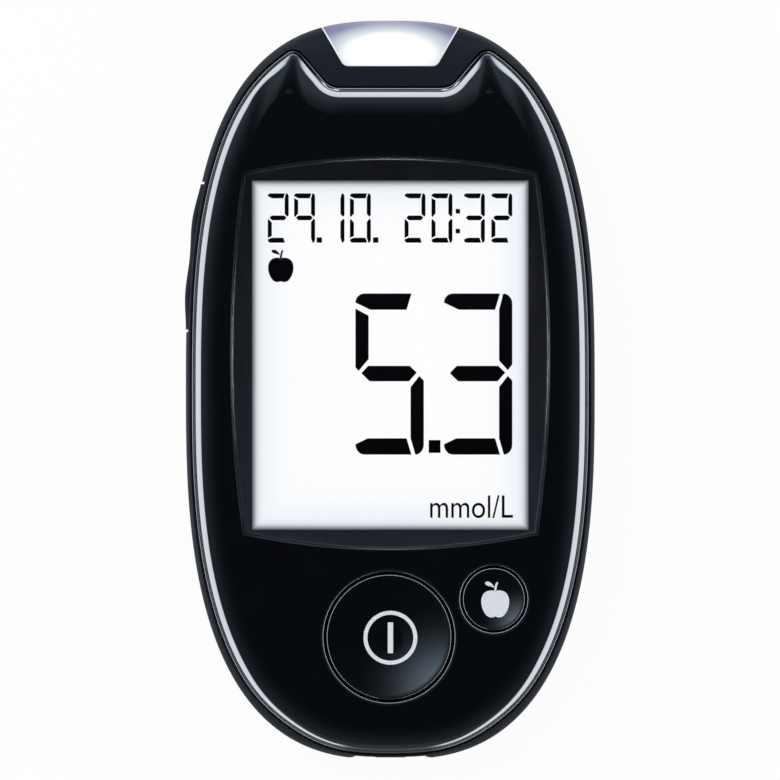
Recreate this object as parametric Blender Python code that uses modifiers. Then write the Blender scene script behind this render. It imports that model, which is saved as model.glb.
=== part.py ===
"""Blood glucose meter lying on its back, with two front buttons, a side rocker and a strip port.

The origin is at the middle of the rear face. +Z points out of the display, and +Y points to the strip port.
"""

import math

import bmesh
import bpy
from mathutils import Vector

# Housing outline: an oval whose two powers make it fuller than an ellipse
BODY_LENGTH = 0.105
BODY_WIDTH = 0.05812
UPPER_POWERS = (2.75, 2.8)
LOWER_POWERS = (2.65, 2.75)
OUTLINE_STEPS = 72

# Gaps and cuts
SEAM = 0.0003
RUNNING_GAP = 0.0001
OVERRUN = 0.004

# Housing shells
WALL = 0.0018
REAR_ROUND = 0.0085
REAR_ROUND_STEPS = 5
FRAME_HEIGHT = 0.0037
FRAME_WALL = 0.0026
FRAME_LIP = 0.00045
COVER_INSET_SIDE = 0.00093
COVER_INSET_CORNER = 0.00125
COVER_PLATE = 0.0024
COVER_SKIRT = 0.0014

# Front cover: its rounded edge, as shares of its width and of the cover's height
EDGE_ROUND_WIDTH = 0.004
EDGE_ROUND_SHARES = (
    (0.0, 0.0),
    (0.04, 0.32),
    (0.09, 0.58),
    (0.18, 0.76),
    (0.33, 0.88),
    (0.58, 0.96),
    (1.0, 1.0),
)

# Saddle of the front cover, between its two ears
SADDLE_BACK = 0.0097
SADDLE_HALF = 0.00858
SADDLE_SLOPE = math.radians(49.5)
SADDLE_ROUND = 0.003
EAR_ROUND = 0.0015
EAR_ROUND_LEAST = 0.0003
EAR_STEPS = 5
SADDLE_STEPS = 4
COVER_SIDE_STEPS = 30

# Nose that holds the strip port, and its shape under the outline
NOSE_DROP = 0.0016
NOSE_RISE_INSET = 0.0085
NOSE_WALL = 0.0015
NOSE_SHARES = ((0.0, 0.0), (0.014, 0.2), (0.056, 0.49), (0.14, 0.67), (0.3, 0.82), (0.59, 0.93), (1.0, 1.0))

# Frosted lens over the strip port
LENS_TOP_HALF = 0.0097
LENS_TOP_BACK = 0.00115
LENS_FOOT_HALF = 0.0066
LENS_FOOT_BACK = 0.00654
LENS_ROUND = 0.0011
LENS_WALL = 0.002
LENS_ROUND_STEPS = 4

# Display and window
VIEW_SIDE_MARGIN = 0.00946
VIEW_TOP_MARGIN = 0.0228
VIEW_KEY_GAP = 0.006
VIEW_MAT_GAP = 0.0051
WINDOW_SIDE_BORDER = 0.001
WINDOW_END_BORDER = 0.00065
WINDOW_SIDE_BULGE = 0.0018
WINDOW_END_BULGE = 0.0022
WINDOW_THICKNESS = 0.001
WINDOW_SINK = 0.00005
WINDOW_STEPS = 8
CELL_BORDER = 0.0012
CELL_FOOT_BORDER = 0.0022
CELL_THICKNESS = 0.0019
GUIDE_THICKNESS = 0.0011
GUIDE_SHORT = 0.0026
HOLDER_WALL = 0.0009
HOLDER_FLOOR = 0.0008
ZEBRA_WIDTH = 0.0015
ZEBRA_SHORT = 0.003

# Circuit board
BOARD_INSET = 0.0034
BOARD_THICKNESS = 0.001
BOARD_LIFT = 0.0006
CHIP_ROOM = 0.0018
PROCESSOR_SIZE = (0.009, 0.009, 0.0012)
PROCESSOR_PLACE = (0.003, 0.006)
MEASURING_SIZE = (0.006, 0.005, 0.0012)
MEASURING_X = -0.004
MEASURING_BACK = 0.0195
MEMORY_SIZE = (0.005, 0.004, 0.001)
MEMORY_X = 0.002
MEMORY_FOOT = 0.0215
CRYSTAL_SIZE = (0.003, 0.007, 0.0014)
CRYSTAL_SIDE = 0.014
CRYSTAL_FOOT = 0.0225
BUZZER_RADIUS = 0.0045
BUZZER_HEIGHT = 0.0014
BUZZER_X = 0.009
BUZZER_BACK = 0.0215

# Round buttons: place, radius and opening
POWER_FOOT = 0.01745
POWER_GAP = 0.0006
POWER_DISH = 0.0009
MARK_SIDE = 0.01439
MARK_FOOT = 0.02288
MARK_RADIUS = 0.00435
MARK_GAP = 0.00042
MARK_DISH = 0.00045
BUTTON_LAND = 0.00162
BUTTON_TRAVEL = 0.0004
BUTTON_REST_CLEARANCE = 0.0001
BUTTON_RIM = 0.0005
BUTTON_EDGE = 0.00025
BUTTON_FLANGE = 0.0005
BUTTON_FLANGE_THICKNESS = 0.0007
POWER_STEM_RADIUS = 0.0016
MARK_STEM_RADIUS = 0.0012
ROUND_STEPS = 32
DISH_STEPS = 4

# Silicone mat and snap domes
MAT_THICKNESS = 0.0008
MAT_DOME_HEIGHT = 0.0017
MAT_DOME_WALL = 0.0007
MAT_DOME_RADIUS = 0.0035
MAT_MARGIN = 0.0012
SNAP_RADIUS = 0.0022
SNAP_THICKNESS = 0.0003

# Side rocker
ROCKER_UPPER_BACK = 0.0229
ROCKER_LOWER_BACK = 0.04425
ROCKER_END_GAP = 0.00035
ROCKER_HALF_HEIGHT = 0.0026
ROCKER_DEPTH = 0.0016
ROCKER_BULGE = 0.00036
ROCKER_DIP = 0.00005
ROCKER_LEAN = 0.0005
ROCKER_STEPS = 14
ROCKER_LEVEL_SHARES = ((0.0, 1.0), (0.22, 0.0), (0.72, 0.0), (1.0, 1.0))
LUG_WIDTH = 0.0028
LUG_DEPTH = 0.0026
LUG_HEIGHT = 0.0026
PIN_RADIUS = 0.0006
PIN_INSET = 0.0023
PIN_SOCKET = 0.0005
NUB_WIDTH = 0.0016
NUB_REACH = 0.0008
NUB_END = 0.0030
NUB_HEIGHT = 0.0012
SWITCH_GAP = 0.0005
SWITCH_SIZE = (0.0022, 0.0034, 0.0016)

# Case screws
SCREW_TOP_SIDE = 0.01456
SCREW_TOP_BACK = 0.013
SCREW_FOOT_SIDE = 0.01506
SCREW_FOOT_BACK = 0.01
SCREW_RADIUS = 0.0009
SCREW_HEAD_RADIUS = 0.0018
SCREW_HEAD_HEIGHT = 0.0012
SCREW_SINK = 0.0021
SCREW_BITE = 0.0028
SCREW_STEPS = 16
REAR_BOSS_RADIUS = 0.003
COVER_BOSS_RADIUS = 0.0021
BOARD_HOLE_GAP = 0.0004

# Battery bay
CELL_RADIUS = 0.01
COIN_THICKNESS = 0.0032
COIN_GAP = 0.0005
COIN_STEPS = 32
BAY_GAP = 0.0004
TRAY_SEAT = 0.00145
TRAY_END = 0.001
TRAY_ROOF = 0.001
TRAY_HEADROOM = 0.0012
DOOR_SIDE_ROOM = 0.00225
DOOR_END_ROOM = 0.0021
DOOR_THICKNESS = 0.0014
DOOR_SINK = 0.0001
DOOR_ROUND = 0.002
DOOR_TAB_PLACE = 0.007
DOOR_TAB_WIDTH = 0.003
DOOR_TAB_ROOT = 0.0008
DOOR_TAB_REACH = 0.0012
DOOR_TAB_THICKNESS = 0.0005
DOOR_LATCH_WIDTH = 0.006
DOOR_LATCH_HEIGHT = 0.0013
CONTACT_THICKNESS = 0.0003
CONTACT_WIDTH = 0.004
CONTACT_LENGTH = 0.009
CONTACT_SPREAD = 0.0055
BRIDGE_LENGTH = 0.012

# Strip connector behind the strip slot
STRIP_SLOT_WIDTH = 0.0072
STRIP_SLOT_HEIGHT = 0.001
STRIP_SLOT_DROP = 0.0021
CONNECTOR_WIDTH = 0.0106
CONNECTOR_LENGTH = 0.0118
CONNECTOR_END_INSET = 0.0034
CONNECTOR_FLOOR = 0.0008
STRIP_CONTACT_PITCH = 0.0021
STRIP_CONTACT_WIDTH = 0.0008
STRIP_CONTACT_LENGTH = 0.006
LED_SIZE = (0.003, 0.0016, 0.001)
LED_X = 0.0045
LED_BACK = 0.005

# Data socket and its cover, in a recess of the bottom edge
RECESS_HALF = 0.00545
RECESS_DEPTH = 0.0004
RECESS_FOOT_ROOM = 0.0009
SOCKET_HALF = 0.0049
SOCKET_HEIGHT = 0.0039
PORT_COVER_THICKNESS = 0.0016
JACK_WIDTH = 0.0078
JACK_LENGTH = 0.0054
JACK_WALL = 0.0004
JACK_DROP = 0.0024
TONGUE_WIDTH = 0.0052
TONGUE_THICKNESS = 0.0004

# Bare label plate in the rear face
LABEL_WIDTH = 0.022
LABEL_DOOR_GAP = 0.00475
LABEL_FOOT_MARGIN = 0.012
LABEL_THICKNESS = 0.0002
LABEL_SINK = 0.00015
LABEL_ROUND = 0.001
CORNER_STEPS = 4

# Heights, from the rear face up through what the meter holds
HALF_WIDTH = BODY_WIDTH / 2
HALF_LENGTH = BODY_LENGTH / 2
COIN_FOOT_Z = DOOR_SINK + DOOR_THICKNESS + SEAM
COIN_TOP_Z = COIN_FOOT_Z + COIN_THICKNESS
TRAY_TOP_Z = COIN_TOP_Z + TRAY_HEADROOM + TRAY_ROOF
REAR_HEIGHT = TRAY_TOP_Z + CHIP_ROOM
BOARD_Z = REAR_HEIGHT + BOARD_LIFT
BOARD_TOP_Z = BOARD_Z + BOARD_THICKNESS
HOLDER_FOOT_Z = BOARD_TOP_Z + SEAM
GUIDE_FOOT_Z = HOLDER_FOOT_Z + HOLDER_FLOOR + SEAM
CELL_FOOT_Z = GUIDE_FOOT_Z + GUIDE_THICKNESS + SEAM
CELL_TOP_Z = CELL_FOOT_Z + CELL_THICKNESS
COVER_UNDER_Z = CELL_TOP_Z + SEAM
BODY_THICKNESS = COVER_UNDER_Z + COVER_PLATE
FRAME_FOOT_Z = REAR_HEIGHT + SEAM / 2
FRAME_TOP_Z = REAR_HEIGHT + FRAME_HEIGHT
COVER_FOOT_Z = FRAME_TOP_Z + SEAM
EDGE_ROUND_HEIGHT = BODY_THICKNESS - COVER_FOOT_Z
NOSE_TOP_Z = BODY_THICKNESS - NOSE_DROP
STRIP_SLOT_Z = REAR_HEIGHT - STRIP_SLOT_DROP
SOCKET_FOOT_Z = REAR_HEIGHT - SOCKET_HEIGHT
RECESS_FOOT_Z = SOCKET_FOOT_Z - RECESS_FOOT_ROOM
JACK_FOOT_Z = REAR_HEIGHT - JACK_DROP
ROCKER_FOOT_Z = REAR_HEIGHT - ROCKER_HALF_HEIGHT
ROCKER_TOP_Z = REAR_HEIGHT + ROCKER_HALF_HEIGHT

# Places, from the outline inwards
SADDLE_Y = HALF_LENGTH - SADDLE_BACK
LENS_TOP_Y = HALF_LENGTH - LENS_TOP_BACK
LENS_FOOT_Y = HALF_LENGTH - LENS_FOOT_BACK
ROCKER_UPPER_Y = HALF_LENGTH - ROCKER_UPPER_BACK
ROCKER_LOWER_Y = HALF_LENGTH - ROCKER_LOWER_BACK
POWER_PLACE = (0.0, POWER_FOOT - HALF_LENGTH)
MARK_PLACE = (HALF_WIDTH - MARK_SIDE, MARK_FOOT - HALF_LENGTH)
BUTTON_PITCH = math.dist(POWER_PLACE, MARK_PLACE)
POWER_RADIUS = BUTTON_PITCH - BUTTON_LAND - MARK_RADIUS - MARK_GAP - POWER_GAP
VIEW_WIDTH = BODY_WIDTH - 2 * VIEW_SIDE_MARGIN
VIEW_TOP_Y = HALF_LENGTH - VIEW_TOP_MARGIN
MAT_REACH = MAT_DOME_RADIUS + MAT_MARGIN
OPENING_TOP_Y = POWER_PLACE[1] + POWER_RADIUS + POWER_GAP
VIEW_FOOT_Y = max(OPENING_TOP_Y + VIEW_KEY_GAP, MARK_PLACE[1] + MAT_REACH + VIEW_MAT_GAP)
VIEW_LENGTH = VIEW_TOP_Y - VIEW_FOOT_Y
DISPLAY_Y = (VIEW_TOP_Y + VIEW_FOOT_Y) / 2
WINDOW_CORNER_HALF = VIEW_WIDTH / 2 + WINDOW_SIDE_BORDER
WINDOW_CORNER_REACH = VIEW_LENGTH / 2 + WINDOW_END_BORDER
MEASURING_PLACE = (MEASURING_X, HALF_LENGTH - MEASURING_BACK)
MEMORY_PLACE = (MEMORY_X, MEMORY_FOOT - HALF_LENGTH)
CRYSTAL_PLACE = (CRYSTAL_SIDE - HALF_WIDTH, CRYSTAL_FOOT - HALF_LENGTH)
BUZZER_PLACE = (BUZZER_X, HALF_LENGTH - BUZZER_BACK)
LED_PLACE = (LED_X, HALF_LENGTH - LED_BACK)
SCREW_PLACES = (
    (HALF_WIDTH - SCREW_TOP_SIDE, HALF_LENGTH - SCREW_TOP_BACK),
    (SCREW_TOP_SIDE - HALF_WIDTH, HALF_LENGTH - SCREW_TOP_BACK),
    (HALF_WIDTH - SCREW_FOOT_SIDE, SCREW_FOOT_BACK - HALF_LENGTH),
    (SCREW_FOOT_SIDE - HALF_WIDTH, SCREW_FOOT_BACK - HALF_LENGTH),
)
BAY_HALF = CELL_RADIUS + BAY_GAP
BAY_END = 2 * CELL_RADIUS + COIN_GAP / 2 + BAY_GAP
TRAY_REACH = BAY_END + TRAY_END
DOOR_WIDTH = 2 * (CELL_RADIUS + DOOR_SIDE_ROOM)
DOOR_LENGTH = 2 * (TRAY_REACH + DOOR_END_ROOM)
TRAY_HALF = DOOR_WIDTH / 2 + SEAM + TRAY_SEAT
LABEL_TOP_Y = -DOOR_LENGTH / 2 - LABEL_DOOR_GAP
LABEL_LENGTH = LABEL_TOP_Y - LABEL_FOOT_MARGIN + HALF_LENGTH
LABEL_Y = LABEL_TOP_Y - LABEL_LENGTH / 2

SLOPE_ALONG = Vector((math.cos(SADDLE_SLOPE), math.sin(SADDLE_SLOPE)))
SLOPE_INTO = Vector((math.sin(SADDLE_SLOPE), -math.cos(SADDLE_SLOPE)))
SLOPE_START = Vector((SADDLE_HALF, SADDLE_Y))


def clear_scene():
    for thing in list(bpy.data.objects):
        bpy.data.objects.remove(thing, do_unlink=True)


def new_collection(name):
    collection = bpy.data.collections.new(name)
    bpy.context.scene.collection.children.link(collection)
    return collection


clear_scene()
PARTS = new_collection("blood_glucose_meter")
CUTTERS = new_collection("cutters")


def make_material(name, colour, roughness, metallic=0.0):
    material = bpy.data.materials.new(name)
    material.use_nodes = True
    shader = material.node_tree.nodes["Principled BSDF"]
    shader.inputs["Base Color"].default_value = (*colour, 1.0)
    shader.inputs["Roughness"].default_value = roughness
    shader.inputs["Metallic"].default_value = metallic
    return material


GLOSS_BLACK = (0.006, 0.007, 0.009)
MATT_BLACK = (0.018, 0.02, 0.026)
BOARD_GREEN = (0.01, 0.12, 0.05)
NICKEL = (0.62, 0.6, 0.56)
GOLD = (0.75, 0.52, 0.2)
CHIP_BLACK = (0.012, 0.012, 0.013)
FROSTED_WHITE = (0.86, 0.86, 0.92)
DISPLAY_WHITE = (0.88, 0.9, 0.94)
SILICONE_GREY = (0.2, 0.21, 0.22)
RUBBER_BLACK = (0.02, 0.02, 0.022)
LABEL_SILVER = (0.5, 0.51, 0.53)
CLEAR = (0.8, 0.82, 0.85)


def link_mesh(name, mesh_data, collection, colour=None, roughness=0.5, metallic=0.0):
    mesh = bpy.data.meshes.new(name)
    mesh_data.to_mesh(mesh)
    mesh_data.free()
    thing = bpy.data.objects.new(name, mesh)
    collection.objects.link(thing)
    if collection is CUTTERS:
        thing.hide_render = True
        thing.display_type = "WIRE"
    else:
        mesh.materials.append(make_material(name, colour, roughness, metallic))
    return thing


def cut(target, tool, operation="DIFFERENCE"):
    modifier = target.modifiers.new(tool.name, "BOOLEAN")
    modifier.object = tool
    modifier.operation = operation


def loft(name, rings, collection, **finish):
    """One closed body through rings of equal counts, from the first ring's cap to the last one's."""
    mesh_data = bmesh.new()
    loops = [[mesh_data.verts.new(point) for point in ring] for ring in rings]
    for lower, upper in zip(loops, loops[1:]):
        for index in range(len(lower)):
            after = (index + 1) % len(lower)
            mesh_data.faces.new((lower[index], lower[after], upper[after], upper[index]))
    mesh_data.faces.new(list(reversed(loops[0])))
    mesh_data.faces.new(loops[-1])
    bmesh.ops.recalc_face_normals(mesh_data, faces=mesh_data.faces)
    for face in mesh_data.faces:
        face.smooth = len(face.verts) == 4
    thing = link_mesh(name, mesh_data, collection, **finish)
    thing.data.set_sharp_from_angle(angle=math.radians(40))
    return thing


def raised(points, height):
    return [(point[0], point[1], height) for point in points]


def prism(name, points, low, high, collection, **finish):
    return loft(name, [raised(points, low), raised(points, high)], collection, **finish)


def block(name, low, high, collection, **finish):
    """A box between two corners."""
    mesh_data = bmesh.new()
    bmesh.ops.create_cube(mesh_data, size=1.0)
    middle = [(a + b) / 2 for a, b in zip(low, high)]
    sides = [b - a for a, b in zip(low, high)]
    bmesh.ops.scale(mesh_data, vec=sides, verts=mesh_data.verts)
    bmesh.ops.translate(mesh_data, vec=middle, verts=mesh_data.verts)
    return link_mesh(name, mesh_data, collection, **finish)


def rod(name, place, radius, low, high, collection, steps=SCREW_STEPS, **finish):
    """A cylinder along Z."""
    mesh_data = bmesh.new()
    bmesh.ops.create_cone(
        mesh_data, cap_ends=True, segments=steps, radius1=radius, radius2=radius, depth=high - low
    )
    bmesh.ops.translate(mesh_data, vec=(place[0], place[1], (low + high) / 2), verts=mesh_data.verts)
    for face in mesh_data.faces:
        face.smooth = len(face.verts) == 4
    return link_mesh(name, mesh_data, collection, **finish)


def turned(name, profile, place, steps, collection, **finish):
    """A body turned about Z at place; the profile runs down its outer side from the axis to the axis."""
    mesh_data = bmesh.new()
    corners = [mesh_data.verts.new((radius, 0, height)) for radius, height in profile]
    for first, second in zip(corners, corners[1:]):
        mesh_data.edges.new((first, second))
    thing = link_mesh(name, mesh_data, collection, **finish)
    screw = thing.modifiers.new("turn", "SCREW")
    screw.steps = steps
    screw.render_steps = steps
    screw.use_merge_vertices = True
    screw.merge_threshold = 0.00001
    screw.use_smooth_shade = True
    thing.location = (place[0], place[1], 0)
    return thing


def move_origin(thing, place):
    """Puts the object's origin on its joint's axis and leaves its shape where it is."""
    shift = Vector(place) - thing.location
    for corner in thing.data.vertices:
        corner.co -= shift
    thing.location = place


def signed_power(base, power):
    return math.copysign(abs(base) ** power, base)


def oval_point(turn, inset=0.0):
    """A point of the housing's outline, moved in along the outline's normal."""
    across, along = math.cos(turn), math.sin(turn)
    width_power, length_power = UPPER_POWERS if along >= 0 else LOWER_POWERS
    share_x = signed_power(across, 2 / width_power)
    share_y = signed_power(along, 2 / length_power)
    normal = Vector((
        signed_power(share_x, width_power - 1) / HALF_WIDTH,
        signed_power(share_y, length_power - 1) / HALF_LENGTH,
    ))
    return Vector((HALF_WIDTH * share_x, HALF_LENGTH * share_y)) - normal.normalized() * inset


def oval_half_width(y):
    """Half the housing's width at a place along its length."""
    width_power, length_power = UPPER_POWERS if y >= 0 else LOWER_POWERS
    return HALF_WIDTH * (1 - (abs(y) / HALF_LENGTH) ** length_power) ** (1 / width_power)


def cover_inset(turn):
    """How far the front cover's outline lies inside the housing's."""
    return COVER_INSET_SIDE + (COVER_INSET_CORNER - COVER_INSET_SIDE) * math.sin(2 * turn) ** 2


def turns():
    return [2 * math.pi * step / OUTLINE_STEPS for step in range(OUTLINE_STEPS)]


def oval_ring(inset, height):
    return raised([oval_point(turn, inset) for turn in turns()], height)


def rear_rings(inset, floor, top):
    """Rings of the rear shell's rounded side, from its floor up to its rim, and inset from the outline."""
    rings = []
    for step in range(REAR_ROUND_STEPS, -1, -1):
        angle = math.pi / 2 * step / REAR_ROUND_STEPS
        height = REAR_HEIGHT - (REAR_HEIGHT - floor) * math.sin(angle)
        rings.append(oval_ring(inset + REAR_ROUND * (1 - math.cos(angle)), min(height, top)))
    return rings


def nose_rings(inset, drop, foot):
    """Rings of the nose's rounded top, from its foot up, and inset from the outline."""
    rings = []
    for inward, upward in NOSE_SHARES:
        height = FRAME_FOOT_Z + (NOSE_TOP_Z - FRAME_FOOT_Z) * upward
        rings.append(oval_ring(inset + NOSE_RISE_INSET * inward, height - drop))
    if foot < FRAME_FOOT_Z - drop:
        rings.insert(0, oval_ring(inset, foot))
    return rings


def saddle_arc(inset):
    """The rounded corner at the foot of the saddle's right slope, from the slope to the flat."""
    radius = SADDLE_ROUND + inset
    centre_x = SADDLE_HALF - SADDLE_ROUND * (1 + SLOPE_INTO.y) / SLOPE_INTO.x
    first = math.atan2(SLOPE_INTO.y, SLOPE_INTO.x)
    points = []
    for step in range(SADDLE_STEPS + 1):
        angle = first + (-math.pi / 2 - first) * step / SADDLE_STEPS
        points.append(Vector((
            centre_x + radius * math.cos(angle),
            SADDLE_Y + SADDLE_ROUND + radius * math.sin(angle),
        )))
    return points


def ear_turn(inset, radius):
    """The turn at which a circle of this radius fits between the cover's side and the saddle's slope."""
    low, high = math.radians(45), math.radians(85)
    for _ in range(40):
        middle = (low + high) / 2
        centre = oval_point(middle, cover_inset(middle) + inset + radius)
        if (centre - SLOPE_START).dot(SLOPE_INTO) > inset + radius:
            low = middle
        else:
            high = middle
    return low


def cover_ring(inset, height):
    """The front cover's outline with its ears and saddle, moved in by inset."""
    radius = max(EAR_ROUND - inset, EAR_ROUND_LEAST)
    last = ear_turn(inset, radius)
    half = []
    for step in range(COVER_SIDE_STEPS + 1):
        turn = -math.pi / 2 + (last + math.pi / 2) * step / COVER_SIDE_STEPS
        half.append(oval_point(turn, cover_inset(turn) + inset))
    centre = oval_point(last, cover_inset(last) + inset + radius)
    outward = half[-1] - centre
    first = math.atan2(outward.y, outward.x)
    final = math.atan2(-SLOPE_INTO.y, -SLOPE_INTO.x)
    for step in range(1, EAR_STEPS + 1):
        angle = first + (final - first) * step / EAR_STEPS
        half.append(centre + radius * Vector((math.cos(angle), math.sin(angle))))
    half += saddle_arc(inset)
    half.append(Vector((0, SADDLE_Y - inset)))
    mirrored = [Vector((-point.x, point.y)) for point in reversed(half[1:-1])]
    return raised(half + mirrored, height)


def window_outline(margin):
    """The barrel outline of the window: four bowed sides between four corners."""
    half_x = WINDOW_CORNER_HALF + margin
    half_y = WINDOW_CORNER_REACH + margin
    points = []
    for step in range(WINDOW_STEPS):
        along = -1 + 2 * step / WINDOW_STEPS
        points.append((half_x + WINDOW_SIDE_BULGE * (1 - along * along), half_y * along))
    for step in range(WINDOW_STEPS):
        along = 1 - 2 * step / WINDOW_STEPS
        points.append((half_x * along, half_y + WINDOW_END_BULGE * (1 - along * along)))
    points += [(-x, -y) for x, y in points]
    return [(x, y + DISPLAY_Y) for x, y in points]


def rounded_rectangle(width, length, radius, centre):
    points = []
    for corner in range(4):
        start = math.pi / 2 * corner
        middle_x = math.copysign(width / 2 - radius, math.cos(start + math.pi / 4))
        middle_y = math.copysign(length / 2 - radius, math.sin(start + math.pi / 4))
        for step in range(CORNER_STEPS + 1):
            angle = start + math.pi / 2 * step / CORNER_STEPS
            points.append((
                centre[0] + middle_x + radius * math.cos(angle),
                centre[1] + middle_y + radius * math.sin(angle),
            ))
    return points


def lens_outline(margin):
    """The lens seen from the front: a trapezoid with rounded lower corners that runs out past the outline."""
    slope = Vector((LENS_TOP_HALF - LENS_FOOT_HALF, LENS_TOP_Y - LENS_FOOT_Y)).normalized()
    outward = Vector((slope.y, -slope.x))
    foot = Vector((LENS_FOOT_HALF, LENS_FOOT_Y)) + outward * margin
    foot -= slope * ((foot.y - LENS_FOOT_Y + margin) / slope.y)
    top = foot + slope * ((HALF_LENGTH + OVERRUN - foot.y) / slope.y)
    radius = LENS_ROUND + margin
    centre_y = foot.y + radius
    centre_x = foot.x + (radius * (slope.x - 1)) / slope.y
    last = math.atan2(outward.y, outward.x)
    right = []
    for step in range(LENS_ROUND_STEPS + 1):
        angle = -math.pi / 2 + (last + math.pi / 2) * step / LENS_ROUND_STEPS
        right.append((centre_x + radius * math.cos(angle), centre_y + radius * math.sin(angle)))
    right.append((top.x, top.y))
    return right + [(-x, y) for x, y in reversed(right)]


def nose_outline(margin):
    """The ground that the nose stands on: all beyond the saddle, kept back from the front cover."""
    arc = saddle_arc(margin)
    far = arc[0] + SLOPE_ALONG * (HALF_LENGTH / 2)
    half = [(far.x, far.y)]
    left = [(-point.x, point.y) for point in arc]
    right = [(point.x, point.y) for point in reversed(arc)]
    return [(-far.x, far.y)] + left + right + half


def screw_tools(name, radius, low, high, collection=CUTTERS, places=SCREW_PLACES):
    return [
        rod(f"{name}_{number}", place, radius, low, high, collection)
        for number, place in enumerate(places, 1)
    ]


def make_rear_cover():
    rings = rear_rings(0, 0, REAR_HEIGHT - SEAM / 2)
    rings += list(reversed(rear_rings(WALL, WALL, REAR_HEIGHT - SEAM / 2)))
    shell = loft("rear_cover", rings, PARTS, colour=MATT_BLACK, roughness=0.55)
    middle = WALL / 2
    form = loft("rear_form", rear_rings(middle, middle, BOARD_Z) + [oval_ring(middle, BOARD_Z)], CUTTERS)
    for boss in screw_tools("rear_boss", REAR_BOSS_RADIUS, SCREW_SINK / 4, BOARD_Z - SEAM):
        cut(boss, form, "INTERSECT")
        cut(shell, boss, "UNION")
    head = SCREW_HEAD_RADIUS + SEAM
    for seat in screw_tools("screw_seat", head, -OVERRUN, SCREW_SINK + SCREW_HEAD_HEIGHT + SEAM):
        cut(shell, seat)
    for hole in screw_tools("rear_hole", SCREW_RADIUS + SEAM, 0, BODY_THICKNESS):
        cut(shell, hole)
    opening = rounded_rectangle(DOOR_WIDTH + 2 * SEAM, DOOR_LENGTH + 2 * SEAM, DOOR_ROUND + SEAM, (0, 0))
    cut(shell, prism("door_opening", opening, -OVERRUN, 2 * WALL, CUTTERS))
    label_sides = (LABEL_WIDTH + 2 * SEAM, LABEL_LENGTH + 2 * SEAM)
    label = rounded_rectangle(*label_sides, LABEL_ROUND + SEAM, (0, LABEL_Y))
    label_roof = LABEL_SINK + LABEL_THICKNESS + SEAM
    cut(shell, prism("label_recess", label, -OVERRUN, label_roof, CUTTERS))
    half = STRIP_SLOT_WIDTH / 2
    slot_low = (-half, HALF_LENGTH - OVERRUN, STRIP_SLOT_Z)
    slot_high = (half, HALF_LENGTH + OVERRUN, STRIP_SLOT_Z + STRIP_SLOT_HEIGHT)
    cut(shell, block("strip_slot", slot_low, slot_high, CUTTERS))
    socket_low = (-SOCKET_HALF, -HALF_LENGTH - OVERRUN, SOCKET_FOOT_Z)
    socket_high = (SOCKET_HALF, -HALF_LENGTH + OVERRUN, BODY_THICKNESS)
    cut(shell, block("socket_opening", socket_low, socket_high, CUTTERS))
    return shell


def make_recess_tool():
    """What the recess in the bottom edge takes away, from the outline inwards."""
    low = (-RECESS_HALF, -HALF_LENGTH - OVERRUN, RECESS_FOOT_Z)
    high = (RECESS_HALF, -HALF_LENGTH + OVERRUN, BODY_THICKNESS)
    tool = block("recess_tool", low, high, CUTTERS)
    rings = rear_rings(RECESS_DEPTH, 0, REAR_HEIGHT)
    rings.append(oval_ring(RECESS_DEPTH, BODY_THICKNESS + OVERRUN))
    cut(tool, loft("recess_core", rings, CUTTERS))
    return tool


def make_rocker_tool():
    """The window in the side wall that the rocker fills, deep enough for it to tip."""
    low = (-HALF_WIDTH - OVERRUN, ROCKER_LOWER_Y, ROCKER_FOOT_Z - SEAM)
    reach = ROCKER_DEPTH + NUB_REACH + SEAM
    high = (reach - oval_half_width(ROCKER_UPPER_Y), ROCKER_UPPER_Y, ROCKER_TOP_Z + SEAM)
    return block("rocker_opening", low, high, CUTTERS)


def make_middle_frame():
    """The band between the two shells, and the nose that stands up from it."""
    outer_middle = [oval_point(turn, (cover_inset(turn) - FRAME_LIP) / 4) for turn in turns()]
    outer_top = [oval_point(turn, cover_inset(turn) - FRAME_LIP) for turn in turns()]
    half_height = (FRAME_FOOT_Z + FRAME_TOP_Z) / 2
    mesh_data = bmesh.new()
    rings = [
        oval_ring(FRAME_WALL, FRAME_FOOT_Z),
        oval_ring(0, FRAME_FOOT_Z),
        raised(outer_middle, half_height),
        raised(outer_top, FRAME_TOP_Z),
        oval_ring(FRAME_WALL, FRAME_TOP_Z),
    ]
    loops = [[mesh_data.verts.new(point) for point in ring] for ring in rings]
    for lower, upper in zip(loops, loops[1:] + loops[:1]):
        for index in range(len(lower)):
            after = (index + 1) % len(lower)
            mesh_data.faces.new((lower[index], lower[after], upper[after], upper[index]))
    bmesh.ops.recalc_face_normals(mesh_data, faces=mesh_data.faces)
    frame = link_mesh("middle_frame", mesh_data, PARTS, colour=MATT_BLACK, roughness=0.55)
    nose_foot = BOARD_TOP_Z + SEAM
    form = loft("nose_form", nose_rings(0, 0, FRAME_FOOT_Z), CUTTERS)
    inner = loft("nose_inner", nose_rings(NOSE_WALL, NOSE_WALL, 0), CUTTERS)
    nose = prism("nose", nose_outline(-SEAM), nose_foot, BODY_THICKNESS, CUTTERS)
    hollow = prism("nose_hollow", nose_outline(-SEAM - NOSE_WALL), 0, BODY_THICKNESS, CUTTERS)
    cut(hollow, inner, "INTERSECT")
    cut(nose, form, "INTERSECT")
    cut(nose, hollow)
    cut(frame, nose, "UNION")
    cut(frame, prism("lens_opening", lens_outline(SEAM), 0, BODY_THICKNESS, CUTTERS))
    return frame


def make_lens():
    lens = prism(
        "port_light_lens", lens_outline(0), FRAME_FOOT_Z, BODY_THICKNESS, PARTS,
        colour=FROSTED_WHITE, roughness=0.35,
    )
    cut(lens, bpy.data.objects["nose_form"], "INTERSECT")
    cut(lens, loft("lens_inner", nose_rings(LENS_WALL, LENS_WALL, 0), CUTTERS))
    return lens


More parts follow.
